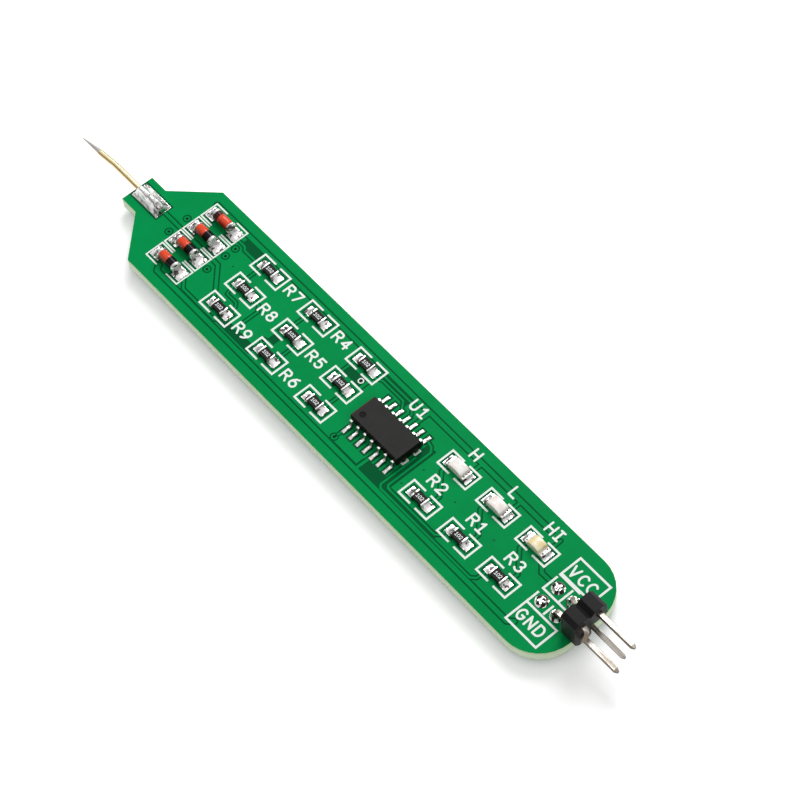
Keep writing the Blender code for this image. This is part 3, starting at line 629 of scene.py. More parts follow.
button_finish, place = make_finish("filled_hole", {"Roughness": 0.4, "Specular IOR Level": 0.05})
feed(button_finish, {"Base Color": place.grain(0.15 * MM).tint(BUTTON_DARK, BUTTON_LIGHT)})
buttons_bm = bmesh.new()
for x, y in FILLED_HOLES:
    add_button(buttons_bm, x, y, BUTTON_TOP_RADIUS, BUTTON_HEIGHT)
add_piece("filled_holes", buttons_bm, [button_finish], smooth_below=30)

small_holes_bm = bmesh.new()
for x, y in [*HOOKED_HOLES, RINGED_HOLE, *VIAS]:
    add_button(small_holes_bm, x, y, OPEN_TOP_RADIUS, OPEN_HEIGHT)
hole_painted_shade, place = make_finish("hole_painted_shade", {"Roughness": 0.7, "Specular IOR Level": 0.1})
feed(hole_painted_shade, {"Base Color": place.grain(0.1 * MM).tint(OPEN_DARK, OPEN_LIGHT)})
add_piece("small_holes", small_holes_bm, [hole_painted_shade], smooth_below=30)

# Probe needle
# Round wire, gold plated, with its end ground to a point that shows the bare steel and its grinding marks.
# It leaves the tongue straight and then bends slightly to one side.

needle_low, needle_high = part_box("probe_needle")
CONE_LENGTH = 3.3 * MM
CONE_BLEND = 0.25 * MM
NEEDLE_RADIUS = 0.38 * MM
NEEDLE_SIDES = 32
NEEDLE_CUTS = 48
NEEDLE_HEIGHT = board_high.z + 0.62 * MM
TIP_SHARE = 0.18
BEND_X = board_low.x - 4.4 * MM
BEND_SLOPE = math.tan(math.radians(4.8))
GOLD_DEEP = (1.0, 0.86, 0.46, 1)
GOLD_PALE = (1.0, 0.94, 0.62, 1)
GOLD_PAINTED_SHADE = (0.56, 0.37, 0.12, 1)
STEEL_DARK = (0.50, 0.46, 0.42, 1)
STEEL_PALE = (0.80, 0.78, 0.75, 1)

needle_finish, place = make_finish("needle_gold", {"Metallic": 1.0})
cone_end = needle_low.x + CONE_LENGTH
bare = place.part("X").between(cone_end + CONE_BLEND, cone_end - CONE_BLEND)
scratches = place.scaled((1, 6, 6)).grain(0.6 * MM, 4)
# Painted shade: the gold turns darker where the wire's surface turns away from facing up.
gold = place.upright(0.95, 0.6).tint(scratches.tint(GOLD_DEEP, GOLD_PALE), GOLD_PAINTED_SHADE)
steel = scratches.tint(STEEL_DARK, STEEL_PALE)
feed(needle_finish, {
    "Base Color": bare.tint(gold, steel),
    "Roughness": bare * 0.14 + scratches * 0.12 + 0.09,
    "Normal": scratches.relief(0.01 * MM),
})


def needle_axis(x):
    """How far to the side the middle of the wire lies, past its bend."""
    return -max(0.0, BEND_X - x) * BEND_SLOPE


needle_bm = bmesh.new()
bmesh.ops.create_cone(needle_bm, cap_ends=True, segments=NEEDLE_SIDES, radius1=NEEDLE_RADIUS,
                      radius2=NEEDLE_RADIUS, depth=1, matrix=Matrix.Rotation(math.pi / 2, 4, "Y"))
lengthwise = [edge for edge in needle_bm.edges if abs(edge.verts[0].co.x - edge.verts[1].co.x) > 0.5]
bmesh.ops.subdivide_edges(needle_bm, edges=lengthwise, cuts=NEEDLE_CUTS)
needle_length = needle_high.x - needle_low.x
for vert in needle_bm.verts:
    x = needle_low.x + (vert.co.x + 0.5) * needle_length
    ground = min(1.0, (x - needle_low.x) / CONE_LENGTH)
    share = TIP_SHARE + (1 - TIP_SHARE) * ground
    vert.co = (x, needle_axis(x) + vert.co.y * share, NEEDLE_HEIGHT + vert.co.z * share)
add_piece("needle_wire", needle_bm, [needle_finish], ["probe_needle"], smooth_below=50)

# Solder on the needle
# The wire lies on an oblong tinned pad under a long bead of solder, which ends in a lump with a pit where
# the iron was lifted off.

BEAD_LENGTH = 5.0
BEAD_WIDTH = 2.4
BEAD_HEIGHT = 1.16 * MM
BEAD_FLOOR = 0.10 * MM
BEAD_EDGE = 0.02 * MM
BEAD_CUTS = 40
SOFT_CUTS = 11
RIDGE_REACH = 0.62
LUMP_START = 1.5
LUMP_FALL = 0.28
BEAD_MIDDLE = (-46.58, 0.08)
PIT = Vector((-44.8, 0.05))
PIT_DEPTH = 0.75 * MM
PIT_SPREAD = 0.07
MOUND_HEIGHT = 0.16 * MM
MOUND_SPREAD = 1.2
COARSE_RIPPLE = 0.10 * MM
FINE_RIPPLE = 0.05 * MM
BEAD_DULL = (0.70, 0.67, 0.67, 1)
BEAD_BRIGHT = (1.0, 0.98, 0.97, 1)
PIT_END_DARK = (0.05, 0.04, 0.04, 1)


def soft_block(cuts):
    """A unit cube cut into a fine grid, for shaping."""
    block = bmesh.new()
    bmesh.ops.create_cube(block, size=1)
    bmesh.ops.subdivide_edges(block, edges=block.edges, cuts=cuts, use_grid_fill=True)
    return block


def absorb(bm, part):
    """Put a shaped part into the mesh that it belongs to."""
    mesh = bpy.data.meshes.new("part")
    bmesh.ops.recalc_face_normals(part, faces=part.faces)
    part.to_mesh(mesh)
    part.free()
    bm.from_mesh(mesh)
    bpy.data.meshes.remove(mesh)


def ripple_at(point, size):
    """Smooth unevenness from -1 to 1 whose waves are about this big."""
    return noise.noise(point / size)


bead_tin, place = make_finish("bead_tin", {"Metallic": 1.0})
swirl = place.scaled((0.5, 1, 1)).grain(0.9 * MM, 2)
# Patches of the bead's colour turn dark from just before the pit to the end of the lump.
dark_towards_pit = place.grain(0.5 * MM, 1).between(0.5, 0.3) * place.part("X").between(
    ORIGIN_X + (PIT.x - 0.6) * MM, ORIGIN_X + PIT.x * MM)
feed(bead_tin, {
    "Base Color": dark_towards_pit.tint(swirl.between(0.38, 0.6).tint(BEAD_DULL, BEAD_BRIGHT), PIT_END_DARK),
    "Roughness": swirl * 0.25 + 0.16,
    "Normal": swirl.relief(0.05 * MM),
})
bead_bm = soft_block(BEAD_CUTS)
for vert in bead_bm.verts:
    along, across = vert.co.x * BEAD_LENGTH, vert.co.y * BEAD_WIDTH
    level = vert.co.z + 0.5
    x, y = BEAD_MIDDLE[0] + along, BEAD_MIDDLE[1] + across
    ridge = math.exp(-(abs(y) / RIDGE_REACH) ** 2.6)
    end_edge = max(0.0, 1 - (abs(along) / (BEAD_LENGTH / 2)) ** 14)
    side_edge = max(0.0, 1 - (abs(across) / (BEAD_WIDTH / 2)) ** 8)
    lump = 1 - LUMP_FALL * max(0.0, along - LUMP_START) ** 2
    mound = MOUND_HEIGHT * math.exp(-((x - PIT.x) ** 2) / MOUND_SPREAD)
    pit = math.exp(-((x - PIT.x) ** 2 + (y - PIT.y) ** 2) / PIT_SPREAD)
    coarse = COARSE_RIPPLE * ripple_at(Vector((x * 0.6, y, 0.0)), 0.5)
    fine = FINE_RIPPLE * ripple_at(Vector((x, y, 3.0)), 0.22)
    rise = BEAD_FLOOR + mound + (BEAD_HEIGHT - BEAD_FLOOR) * ridge * lump + (coarse + fine) - PIT_DEPTH * pit
    edge = end_edge * side_edge
    vert.co = spot(x, y, SOLDER_FOOT + level * (BEAD_EDGE + max(0.0, rise) * edge))
add_piece("needle_bead", bead_bm, [bead_tin], ["needle_solder"], smooth_below=70)

# Diodes
# Glass sleeves fused round two metal end caps, with a black cathode band. They are laid on their sides and
# soldered by the caps.

GLASS_RADIUS = 0.7
CAP_RADIUS = 0.75
DIODE_HALF = 1.75
CAP_LENGTH = 0.5
DIODE_AXIS = board_high.z + 0.82 * MM
BAND_REACH = 1.05
SHORT_BAND_REACH = 0.75
BAND_PROUD = 0.012
TURN_STEPS = 40
GLASS_PAINTED_SHADE = (0.13, 0.003, 0.002, 1)
GLASS_PAINTED_LIGHT = (0.86, 0.075, 0.022, 1)
BAND_DARK = (0.002, 0.002, 0.003, 1)
BAND_LIGHT = (0.007, 0.007, 0.008, 1)
BROWN_DARK = (0.02, 0.006, 0.005, 1)
BROWN_LIGHT = (0.08, 0.015, 0.01, 1)
# Where a diode's solder starts and where it meets the cap. A fillet is given by its half width at the foot
# and at the wall, and by its height.
DIODE_FOOT = 2.82
DIODE_WALL = DIODE_HALF - 0.12
DIODE_FILLET = (0.84, 0.55, 0.95)
FILLET_TOE = 0.1
FILLET_HOLLOW = 2.4
FILLET_ROUND = 0.75
FILLET_UNEVEN = 0.16

glass, place = make_finish("diode_glass", {"Roughness": 0.1, "Specular IOR Level": 0.35})
# Painted light and shade: the glass is coloured lighter towards its top and dark from just above its axis
# down, with a little random tone mixed in.
glass_painted_light = place.part("Z").between(DIODE_AXIS + 0.15 * MM, DIODE_AXIS + 0.72 * MM)
deep = glass_painted_light * 0.75 + place.scaled((2, 1, 1)).grain(0.6 * MM, 2) * 0.25
feed(glass, {"Base Color": deep.tint(GLASS_PAINTED_SHADE, GLASS_PAINTED_LIGHT)})
band_ink, place = make_finish("band_black", {"Roughness": 0.16, "Specular IOR Level": 0.16})
feed(band_ink, {"Base Color": place.grain(0.2 * MM).tint(BAND_DARK, BAND_LIGHT)})
band_brown, place = make_finish("band_brown", {"Roughness": 0.2, "Specular IOR Level": 0.2})
feed(band_brown, {"Base Color": place.grain(0.3 * MM).tint(BROWN_DARK, BROWN_LIGHT)})


def turned(profile, axis, steps):
    """A closed body turned about an axis, from points beside it in millimetres along X and Z."""
    bm = bmesh.new()
    verts = [bm.verts.new((x * MM, 0, z * MM)) for x, z in profile]
    edges = [bm.edges.new(pair) for pair in zip(verts, verts[1:])]
    bmesh.ops.spin(bm, geom=verts + edges, axis=axis, cent=(0, 0, 0), angle=math.tau, steps=steps,
                   use_merge=True)
    bmesh.ops.remove_doubles(bm, verts=bm.verts, dist=MERGE_DISTANCE)
    return bm


def diode_part(profile, place_at):
    """A round part of a diode, from distances along its axis and radii."""
    bm = turned(profile, (1, 0, 0), TURN_STEPS)
    bmesh.ops.translate(bm, verts=bm.verts, vec=place_at)
    return bm


def add_fillet(bm, foot_x, wall_x, y, foot_half, wall_half, height):
    """Solder drawn up in a hollow slope from the end of a pad to a metal wall."""
    fillet = soft_block(SOFT_CUTS)
    for vert in fillet.verts:
        along = vert.co.x + 0.5
        across = 2 * vert.co.y
        level = vert.co.z + 0.5
        half = foot_half + (wall_half - foot_half) * along ** 2
        slope = FILLET_TOE + (1 - FILLET_TOE) * along ** FILLET_HOLLOW
        rounding = 1 - FILLET_ROUND * abs(across) ** 3
        x = foot_x + (wall_x - foot_x) * along
        uneven = 1 + FILLET_UNEVEN * ripple_at(Vector((x, y + across, 1.7)), 0.4)
        rise = height * MM * slope * rounding * uneven
        vert.co = spot(x, y + across * half, SOLDER_FOOT + level * rise)
    absorb(bm, fillet)


# The fourth diode lies the other way round, and its band is short and brown
for number, name in enumerate(diode_names, 1):
    x, y = node_middle(name + "_glass")
    cathode, reach, ink = (-1, SHORT_BAND_REACH, band_brown) if number == 4 else (1, BAND_REACH, band_ink)
    half = DIODE_HALF - CAP_LENGTH
    axis = spot(x, y, DIODE_AXIS)
    sleeve = [(-half, 0), (-half, GLASS_RADIUS - 0.05), (-half + 0.06, GLASS_RADIUS),
              (half - 0.06, GLASS_RADIUS), (half, GLASS_RADIUS - 0.05), (half, 0)]
    add_piece(name + "_sleeve", diode_part(sleeve, axis), [glass], [name + "_glass"], 40)
    start, end = sorted((cathode * (half - 0.01), cathode * (half - reach)))
    over = GLASS_RADIUS + BAND_PROUD
    band = [(start, 0), (start, over), (end, over), (end, 0)]
    add_piece(name + "_band", diode_part(band, axis), [ink], smooth_below=40)
    for side, end_name in ((-1, "needle_end"), (1, "header_end")):
        cap = [(side * half, 0), (side * half, CAP_RADIUS - 0.04), (side * (half + 0.05), CAP_RADIUS),
               (side * (DIODE_HALF - 0.2), CAP_RADIUS), (side * (DIODE_HALF - 0.06), CAP_RADIUS - 0.08),
               (side * DIODE_HALF, CAP_RADIUS - 0.25), (side * DIODE_HALF, 0)]
        cap_bm = diode_part(cap, axis)
        add_fillet(cap_bm, x + side * DIODE_FOOT, x + side * DIODE_WALL, y, *DIODE_FILLET)
        add_piece(f"{name}_cap_and_solder_{end_name}", cap_bm, [tin],
                  [f"{name}_cap_{end_name}"], 60)

# Chip resistors
# A ceramic block with a black glazed top and its value printed on it, metal caps on both ends, and solder
# drawn up each cap from its pad.

CHIP_HALF = 1.0
CHIP_SIDE = 0.625
CHIP_TOP = 0.55 * MM
CHIP_CAP = 0.25
CHIP_FOOT = 1.92
CHIP_FILLET = (0.61, 0.56, 0.46)
FILLET_LAP = 0.03
SHARP_ANGLE = math.radians(30)
CHIP_ROUND = 0.03 * MM
CAP_ROUND = 0.05 * MM
CAP_PROUD = 0.02
CAP_RISE = 0.03 * MM
VALUE_CAP = 0.44
VALUE_LINE = 0.08
VALUE_GAP = 0.24
VALUE = "102"
VALUE_HALF = 0.53
GLAZE_DARK = (0.005, 0.0045, 0.0045, 1)
GLAZE_LIGHT = (0.016, 0.014, 0.013, 1)

glaze, place = make_finish("chip_black", {"Roughness": 0.3, "Specular IOR Level": 0.12})
feed(glaze, {
    "Base Color": place.grain(0.1 * MM, 3).tint(GLAZE_DARK, GLAZE_LIGHT),
    "Normal": place.grain(0.06 * MM).relief(0.004 * MM),
})


def bevel_sharp(bm, size, segments=2):
    """Round every sharp edge, and shade only the rounding smooth."""
    sharp = [edge for edge in bm.edges if edge.calc_face_angle(0) > SHARP_ANGLE]
    rounded = bmesh.ops.bevel(bm, geom=sharp, offset=size, segments=segments, profile=0.5, affect="EDGES",
                              material=-1, clamp_overlap=True)
    for face in rounded["faces"]:
        face.smooth = True


def metal_ends(x, y, half, side_half, length, top, foot, fillet):
    """Metal caps on both ends of a block, with solder drawn up each of them from its pad."""
    bm = bmesh.new()
    for side in (-1, 1):
        near, far = sorted((x + side * (half - length), x + side * half))
        add_block(bm, (near, y - side_half - CAP_PROUD), (far, y + side_half + CAP_PROUD), PAD_TOP,
                  top + CAP_RISE)
    bevel_sharp(bm, CAP_ROUND, 3)
    for side in (-1, 1):
        add_fillet(bm, x + side * foot, x + side * (half - FILLET_LAP), y, *fillet)
    return bm


resistor_top = PAD_TOP + CHIP_TOP
values_bm = bmesh.new()
for name in resistor_names:
    x, y = node_middle(name)
    body_bm = bmesh.new()
    body_end = CHIP_HALF - 0.5 * CHIP_CAP
    add_block(body_bm, (x - body_end, y - CHIP_SIDE), (x + body_end, y + CHIP_SIDE), PAD_TOP, resistor_top)
    bevel_sharp(body_bm, CHIP_ROUND)
    add_piece(name + "_body", body_bm, [glaze], [name])
    ends_bm = metal_ends(x, y, CHIP_HALF, CHIP_SIDE, CHIP_CAP, resistor_top, CHIP_FOOT, CHIP_FILLET)
    add_piece(name + "_ends", ends_bm, [tin], [name], 50)
    add_word(values_bm, VALUE, x - VALUE_HALF, y - VALUE_CAP / 2, VALUE_CAP, VALUE_GAP, VALUE_LINE,
             resistor_top - 0.01 * MM, resistor_top + 0.008 * MM)
add_piece("resistor_values", values_bm, [white_ink])

# Lamps
# Small light-emitting diodes: a white base with tinned ends, and a milky moulded lens. The third lamp's
# lens is shorter and cream coloured.

LAMP_HALF = 1.6
LAMP_SIDE = 0.75
LAMP_CAP = 0.45
LAMP_FOOT = 2.06
LAMP_FILLET = (0.76, 0.72, 0.42)
BASE_INSET = 0.25
BASE_TOP = PAD_TOP + 0.45 * MM
LENS_SINK = 0.03 * MM
LENS_EDGE = 0.68
LENS_CROWN = 0.32
LENS_TAPER = 0.10
LENS_SIDE_TAPER = 0.05
LENS_SIDE_ROUND = 0.10
LENS_END_ROUND = 0.12
DOT_RADIUS = 0.11 * MM
DOT_RISE = 0.02 * MM
DOT_PLACES = ((1.28, 0.40), (1.34, -0.36), (-1.3, -0.46))
BASE_DULL = (0.62, 0.58, 0.54, 1)
BASE_WHITE = (0.86, 0.84, 0.80, 1)
RESIN_WHITE = (0.95, 0.93, 0.89, 1)
RESIN_WHITE_DEEP = (0.89, 0.80, 0.74, 1)
RESIN_CREAM = (0.94, 0.88, 0.66, 1)
RESIN_CREAM_DEEP = (0.88, 0.70, 0.36, 1)
DOT_DARK = (0.10, 0.03, 0.02, 1)
DOT_LIGHT = (0.22, 0.08, 0.05, 1)

lamp_base, place = make_finish("lamp_base", {"Roughness": 0.5})
feed(lamp_base, {"Base Color": place.grain(0.3 * MM, 3).tint(BASE_DULL, BASE_WHITE)})


def make_lens_finish(name, pale, deep):
    """Milky resin with patches of a deeper colour."""
    finish, point = make_finish(name, {"Roughness": 0.22, "Coat Weight": 0.5, "Coat Roughness": 0.08})
    feed(finish, {
        "Base Color": point.grain(0.8 * MM, 2).between(0.35, 0.7).tint(deep, pale),
        "Normal": point.grain(0.4 * MM, 2).relief(0.015 * MM),
    })
    return finish


lens_white = make_lens_finish("lamp_lens_white", RESIN_WHITE, RESIN_WHITE_DEEP)
lens_cream = make_lens_finish("lamp_lens_cream", RESIN_CREAM, RESIN_CREAM_DEEP)
spot_finish, place = make_finish("lamp_spot", {"Roughness": 0.4})
feed(spot_finish, {"Base Color": place.grain(0.1 * MM).tint(DOT_DARK, DOT_LIGHT)})

for name in lamp_names:
    x, y = node_middle(name + "_base")
    base_bm = bmesh.new()
    add_block(base_bm, (x - LAMP_HALF + BASE_INSET, y - LAMP_SIDE),
              (x + LAMP_HALF - BASE_INSET, y + LAMP_SIDE), PAD_TOP, BASE_TOP)
    bevel_sharp(base_bm, CHIP_ROUND)
    add_piece(name + "_board", base_bm, [lamp_base], [name + "_base"])
    ends_bm = metal_ends(x, y, LAMP_HALF, LAMP_SIDE, LAMP_CAP, BASE_TOP, LAMP_FOOT, LAMP_FILLET)
    add_piece(name + "_ends", ends_bm, [tin], [name + "_base"], 50)
    low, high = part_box(name + "_lens")
    lens_bm = soft_block(SOFT_CUTS)
    size = high - low
    middle = (low + high) / 2
    for vert in lens_bm.verts:
        along, across, level = vert.co.x * 2, vert.co.y * 2, vert.co.z + 0.5
        crown = LENS_EDGE + LENS_CROWN * (1 - along ** 2)
        shrink = 1 - LENS_TAPER * level
        side_shrink = 1 - LENS_SIDE_TAPER * level
        rounding = 1 - LENS_SIDE_ROUND * level * abs(across) ** 6 - LENS_END_ROUND * level * abs(along) ** 8
        vert.co = (middle.x + vert.co.x * size.x * shrink, middle.y + vert.co.y * size.y * side_shrink,
                   low.z - LENS_SINK + level * size.z * crown * rounding)
    lens = lens_cream if name == "lamp_floating" else lens_white
    add_piece(name + "_resin", lens_bm, [lens], [name + "_lens"], 45)
    spots_bm = bmesh.new()
    for shift_x, shift_y in DOT_PLACES:
        dot_place = Matrix.Translation(spot(x + shift_x, y + shift_y, BASE_TOP + DOT_RISE))
        bmesh.ops.create_uvsphere(spots_bm, u_segments=16, v_segments=8, radius=DOT_RADIUS, matrix=dot_place)
    add_piece(name + "_wire_dots", spots_bm, [spot_finish], smooth_below=60)

# Integrated circuit
# Filled black epoxy moulded round its lead frame, with a fine matt grain and a moulded dimple at lead 1.

MOULD_ROUND = 0.05 * MM
EPOXY_DARK = (0.009, 0.009, 0.0085, 1)
EPOXY_LIGHT = (0.036, 0.035, 0.034, 1)
EPOXY_PAINTED_SHADE = (0.004, 0.004, 0.004, 1)
EPOXY_WARM = (0.09, 0.025, 0.024, 1)

moulding, place = make_finish("ic_moulding", {"Specular IOR Level": 0.1})
speckle = place.grain(0.07 * MM, 4)
warm_end = place.part("X").between(chip_low.x + 0.5 * MM, chip_low.x)
top_grey = (speckle * 0.7 + place.grain(1.2 * MM, 2) * 0.3).tint(EPOXY_DARK, EPOXY_LIGHT)
# Painted shade: everything below the top face is coloured darker than the top.
painted_shade_below_top = place.part("Z").between(chip_high.z - 0.02 * MM, chip_high.z - 0.07 * MM)
grey = painted_shade_below_top.tint(top_grey, EPOXY_PAINTED_SHADE)
feed(moulding, {
    "Base Color": (warm_end * 0.5).tint(grey, EPOXY_WARM),
    "Roughness": speckle * 0.3 + 0.36,
    "Normal": speckle.relief(0.012 * MM),
})
body_bm = solid_of("ic_body")
bevel_sharp(body_bm, MOULD_ROUND, 3)
add_piece("ic_moulded_body", body_bm, [moulding], ["ic_body"])

# Leads of the integrated circuit
# Tin-plated gull wings, formed from sheet. Each foot stands in solder that covers its pad past the toe.

LEAD_TOE = 3.0
LEAD_ROUND = 0.035 * MM
FOOT_SOLDER_START = 2.35
FOOT_SOLDER_END = 3.72
FOOT_SOLDER_HALF = 0.25
FOOT_SOLDER_RISE = 0.20 * MM
FOOT_SOLDER_EDGE = 0.03 * MM
LEAD_DULL = (0.86, 0.83, 0.82, 1)
LEAD_BRIGHT = (1.0, 0.98, 0.96, 1)
LEAD_PAINTED_SHADE = (0.40, 0.37, 0.36, 1)

lead_tin, place = make_finish("lead_tin", {"Metallic": 1.0})
dull = place.grain(0.35 * MM, 2)
feed(lead_tin, {
    # Painted shade: faces that stand upright or face down are coloured darker than faces that point up.
    "Base Color": place.upright().tint(dull.between(0.3, 0.5).tint(LEAD_DULL, LEAD_BRIGHT), LEAD_PAINTED_SHADE),
    "Roughness": dull * 0.25 + 0.18,
    "Normal": dull.relief(0.03 * MM),
})
for name in lead_names:
    x, y = node_middle(name)
    side = math.copysign(1, y - lead_y)
    lead_bm = solid_of(name)
    bevel_sharp(lead_bm, LEAD_ROUND)
    foot_solder = soft_block(SOFT_CUTS)
    for vert in foot_solder.verts:
        along, across, level = vert.co.y + 0.5, 2 * vert.co.x, vert.co.z + 0.5
        reach = FOOT_SOLDER_START + (FOOT_SOLDER_END - FOOT_SOLDER_START) * along
        past_toe = max(0.0, reach - LEAD_TOE) / (FOOT_SOLDER_END - LEAD_TOE)
        rise = FOOT_SOLDER_RISE * (1 - past_toe ** 1.6) * (1 - 0.85 * abs(across) ** 3) + FOOT_SOLDER_EDGE
        rise *= 1 + 0.35 * ripple_at(Vector((x, reach, across)), 0.35)
        vert.co = spot(x + across * FOOT_SOLDER_HALF, lead_y + side * reach, SOLDER_FOOT + level * rise)
    absorb(lead_bm, foot_solder)
    add_piece(name + "_soldered", lead_bm, [lead_tin], [name], 45)

# Pin header
# Black nylon moulded in cells with chamfered corners. The lower supply cell is torn away, and below the break
# the nylon on the supply side is coloured pale.

HOUSING_ROUND = 0.04 * MM
TEAR_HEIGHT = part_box("header_housing")[0].z + 2.45 * MM
TEAR_BLEND = 0.1 * MM
NYLON_DARK = (0.006, 0.0055, 0.006, 1)
NYLON_LIGHT = (0.018, 0.017, 0.018, 1)
NYLON_PALE = (0.35, 0.34, 0.34, 1)

nylon, place = make_finish("header_nylon", {"Specular IOR Level": 0.12})
below_tear = place.part("Z").between(TEAR_HEIGHT + TEAR_BLEND, TEAR_HEIGHT - TEAR_BLEND)
pale_below_break = below_tear * place.part("Y").between(-0.02 * MM, 0.05 * MM)
nylon_grey = place.grain(0.12 * MM, 4).tint(NYLON_DARK, NYLON_LIGHT)
feed(nylon, {
    "Base Color": pale_below_break.tint(nylon_grey, NYLON_PALE),
    "Roughness": place.grain(0.15 * MM, 3) * 0.25 + 0.32,
    "Normal": place.grain(0.1 * MM, 3).relief(0.008 * MM),
})
housing_bm = solid_of("header_housing")
bevel_sharp(housing_bm, HOUSING_ROUND)
add_piece("header_moulding", housing_bm, [nylon], ["header_housing"])

# Header pins
# Square brass wire with a bright tin plate, cut to a point in front. The lower pins are bent down behind and
# soldered in, and the upper ones end at the moulding.

PIN_ROUND = 0.05 * MM
PLATE_DARK = (0.36, 0.31, 0.26, 1)
PLATE_LIGHT = (0.74, 0.69, 0.62, 1)
PLATE_PAINTED_SHADE = (0.20, 0.16, 0.125, 1)

plate, place = make_finish("pin_plate", {"Metallic": 1.0})
drawn = place.scaled((0.3, 3.2, 3.2)).grain(0.9 * MM, 3)
# Painted shade: faces that stand upright or face down are coloured darker. They are also rougher.
upright = place.upright()
plated = drawn.between(0.35, 0.62).tint(PLATE_DARK, PLATE_LIGHT)
feed(plate, {
    "Base Color": upright.tint(plated, PLATE_PAINTED_SHADE),
    "Roughness": drawn * 0.2 + upright * 0.12 + 0.14,
    "Normal": drawn.relief(0.008 * MM),
})
for name in ("vcc_upper", "vcc_lower", "gnd_upper", "gnd_lower"):
    pin_bm = solid_of("header_pin_" + name)
    bevel_sharp(pin_bm, PIN_ROUND)
    add_piece("pin_" + name, pin_bm, [plate], ["header_pin_" + name])

# Solder joints of the header
# The lower pins stand in hollow cones of solder. The back holes are closed by low ones over the ends of
# the cut legs.

JOINT_RADIUS = 0.86
JOINT_HEIGHT = 0.85
CUT_JOINT_HEIGHT = 0.42
JOINT_NECK = 0.5
JOINT_RIM = 0.07
BARREL_RADIUS = 0.5
SLOPE_STEPS = 8
JOINT_TURN_STEPS = 36
JOINT_RIPPLE = 0.05 * MM
BARREL_REACH = 0.85 * MM
JOINT_DULL = (0.82, 0.78, 0.76, 1)
JOINT_BRIGHT = (1.0, 0.98, 0.96, 1)
JOINT_PAINTED_DARK_REFLECTION = (0.045, 0.035, 0.035, 1)


def joint_slope(height):
    """Radius and height along the hollow slope of a joint, from its rim up to the wire."""
    slope = []
    for step in range(SLOPE_STEPS + 1):
        turn = math.pi / 2 * step / SLOPE_STEPS
        slope.append((JOINT_NECK + (JOINT_RADIUS - JOINT_NECK) * (1 - math.sin(turn)),
                      JOINT_RIM + (height - JOINT_RIM) * (1 - math.cos(turn))))
    return slope


joint_tin, place = make_finish("joint_tin", {"Metallic": 1.0})
flow = place.scaled((1, 1, 0.5)).grain(0.75 * MM, 0.5)
# Painted dark reflections: narrow bands of the flow pattern are coloured almost black.
painted_dark_reflection = 1 - (flow.between(0.42, 0.45) - flow.between(0.54, 0.57))
sheen = place.grain(0.5 * MM, 2)
feed(joint_tin, {
    "Base Color": painted_dark_reflection.tint(sheen.tint(JOINT_DULL, JOINT_BRIGHT), JOINT_PAINTED_DARK_REFLECTION),
    "Roughness": sheen * 0.2 + 0.12,
    "Normal": sheen.relief(0.08 * MM),
})
top_face, bottom_face = board_high.z / MM, board_low.z / MM
for row, height in (("back", CUT_JOINT_HEIGHT), ("front", JOINT_HEIGHT)):
    for net in ("vcc", "gnd"):
        name = f"solder_joint_{net}_{row}"
        x, y = node_middle(name)
        above = [(radius, top_face + rise) for radius, rise in reversed(joint_slope(height))]
        below = [(radius, bottom_face - rise) for radius, rise in joint_slope(JOINT_HEIGHT)]
        profile = [(0, above[0][1]), *above, (JOINT_RADIUS, top_face), (BARREL_RADIUS, top_face),
                   (BARREL_RADIUS, bottom_face), (JOINT_RADIUS, bottom_face), *below, (0, below[-1][1])]
        joint_bm = turned(profile, (0, 0, 1), JOINT_TURN_STEPS)
        # The cones are uneven, and the barrel in the hole stays round
        for vert in joint_bm.verts:
            push = JOINT_RIPPLE * ripple_at(vert.co / MM + Vector((x, y, 0)), 0.5)
            if abs(vert.co.z - BOARD_MIDDLE) > BARREL_REACH:
                vert.co += Vector((vert.co.x, vert.co.y, 0)).normalized() * push
        bmesh.ops.translate(joint_bm, verts=joint_bm.verts, vec=spot(x, y))
        add_piece(f"joint_{net}_{row}", joint_bm, [joint_tin], [name], 50)

# Studio
# A white floor under one round soft lamp, which stands past the needle's end on the lamps' side of the board.
# The room fills in evenly, with a brighter ceiling and a bright band at the horizon.

FLOOR_SIZE = 3.0
FLOOR_COLOUR = (0.93, 0.93, 0.93, 1)
WHITE = (1, 1, 1, 1)
WALL_LEVEL = 0.22
CEILING_LEVEL = 0.60
HORIZON_LEVEL = 0.60
KEY_LEVEL = 0.46
KEY_PLACE = Vector((-0.2, 0.34, 0.42))
KEY_SIZE = 0.36
FLOOR_GLOW = 0.27
SIDE_LEVEL = 0.9
SIDE_SLOPE = 0.2
CEILING_BAND = (0.30, 0.72)
HORIZON_BAND = (0.14, 0.05)

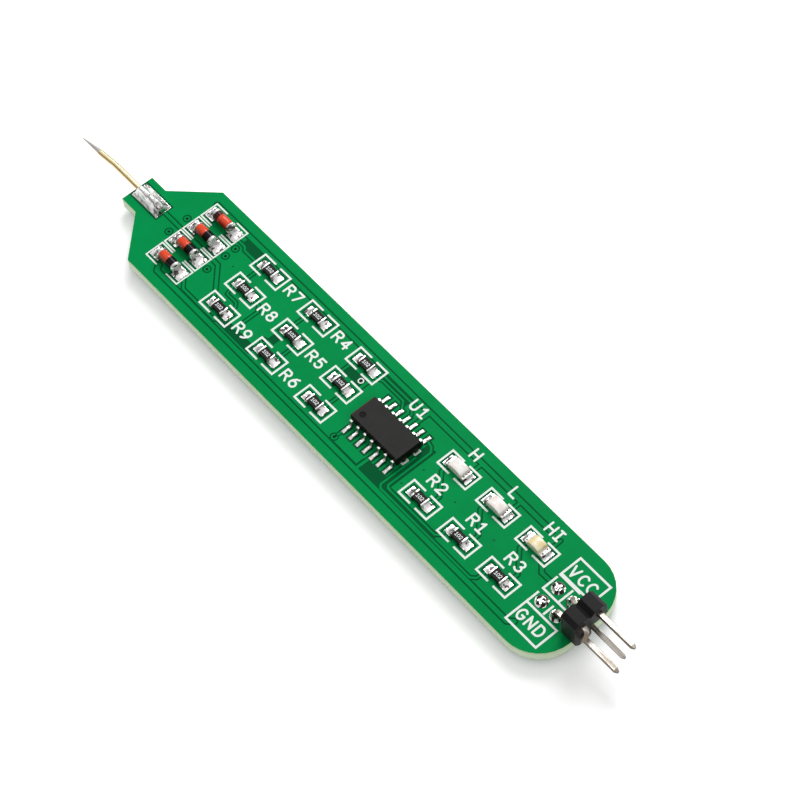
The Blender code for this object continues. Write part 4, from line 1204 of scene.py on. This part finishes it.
floor_bm = bmesh.new()
bmesh.ops.create_grid(floor_bm, x_segments=1, y_segments=1, size=FLOOR_SIZE / 2)
floor_mesh = bpy.data.meshes.new("floor")
floor_bm.to_mesh(floor_mesh)
floor_bm.free()
floor = bpy.data.objects.new("floor", floor_mesh)
bpy.context.scene.collection.objects.link(floor)
floor_finish, place = make_finish("floor_paper", {
    "Base Color": FLOOR_COLOUR, "Roughness": 0.9, "Specular IOR Level": 0.0, "Emission Color": WHITE,
})
ray = place.tree.nodes.new("ShaderNodeLightPath").outputs
seen, mirrored, refracted = (Signal(place.tree, ray[kind]) for kind in (
    "Is Camera Ray", "Is Glossy Ray", "Is Transmission Ray"))
feed(floor_finish, {"Emission Strength": (seen + mirrored + refracted) * FLOOR_GLOW})
floor_mesh.materials.append(floor_finish)

world = bpy.data.worlds.new("room")
world.use_nodes = True
bpy.context.scene.world = world
tree = world.node_tree
direction = Signal(tree, tree.nodes.new("ShaderNodeTexCoord").outputs["Generated"])
up, aside = direction.part("Z"), direction.part("Y")
ceiling = up.between(*CEILING_BAND) * CEILING_LEVEL
horizon = up.between(*HORIZON_BAND) * HORIZON_LEVEL
room = (ceiling + WALL_LEVEL) * (aside * SIDE_SLOPE + SIDE_LEVEL) + horizon
tree.nodes["Background"].inputs["Color"].default_value = WHITE
tree.links.new(room.socket, tree.nodes["Background"].inputs["Strength"])

key_data = bpy.data.lights.new("key", "AREA")
key_data.shape = "DISK"
key_data.size = KEY_SIZE
slant = KEY_PLACE.z / KEY_PLACE.length
key_data.energy = KEY_LEVEL * math.pi ** 2 * KEY_PLACE.length ** 2 / slant
key = bpy.data.objects.new("key", key_data)
bpy.context.scene.collection.objects.link(key)
key.location = KEY_PLACE
key.rotation_euler = (-KEY_PLACE).to_track_quat("-Z", "Y").to_euler()

# Camera
# A long lens from the header end, above the ground side, tilted so that the probe runs down to the right.

CAMERA_PLACE = Vector((0.155575, -0.09688, 0.28801))
CAMERA_AIM = Vector((0.006357, 0.004251, 0.0026))
CAMERA_ROLL = math.radians(7.03)
LENS = 126.8
SENSOR = 36.0

camera_data = bpy.data.cameras.new("camera")
camera_data.lens = LENS
camera_data.sensor_width = SENSOR
camera = bpy.data.objects.new("camera", camera_data)
bpy.context.scene.collection.objects.link(camera)
camera.location = CAMERA_PLACE
level_view = (CAMERA_AIM - CAMERA_PLACE).to_track_quat("-Z", "Y")
camera.rotation_euler = (level_view @ Quaternion((0, 0, 1), -CAMERA_ROLL)).to_euler()
bpy.context.scene.camera = camera
bpy.context.scene.view_settings.view_transform = "Standard"
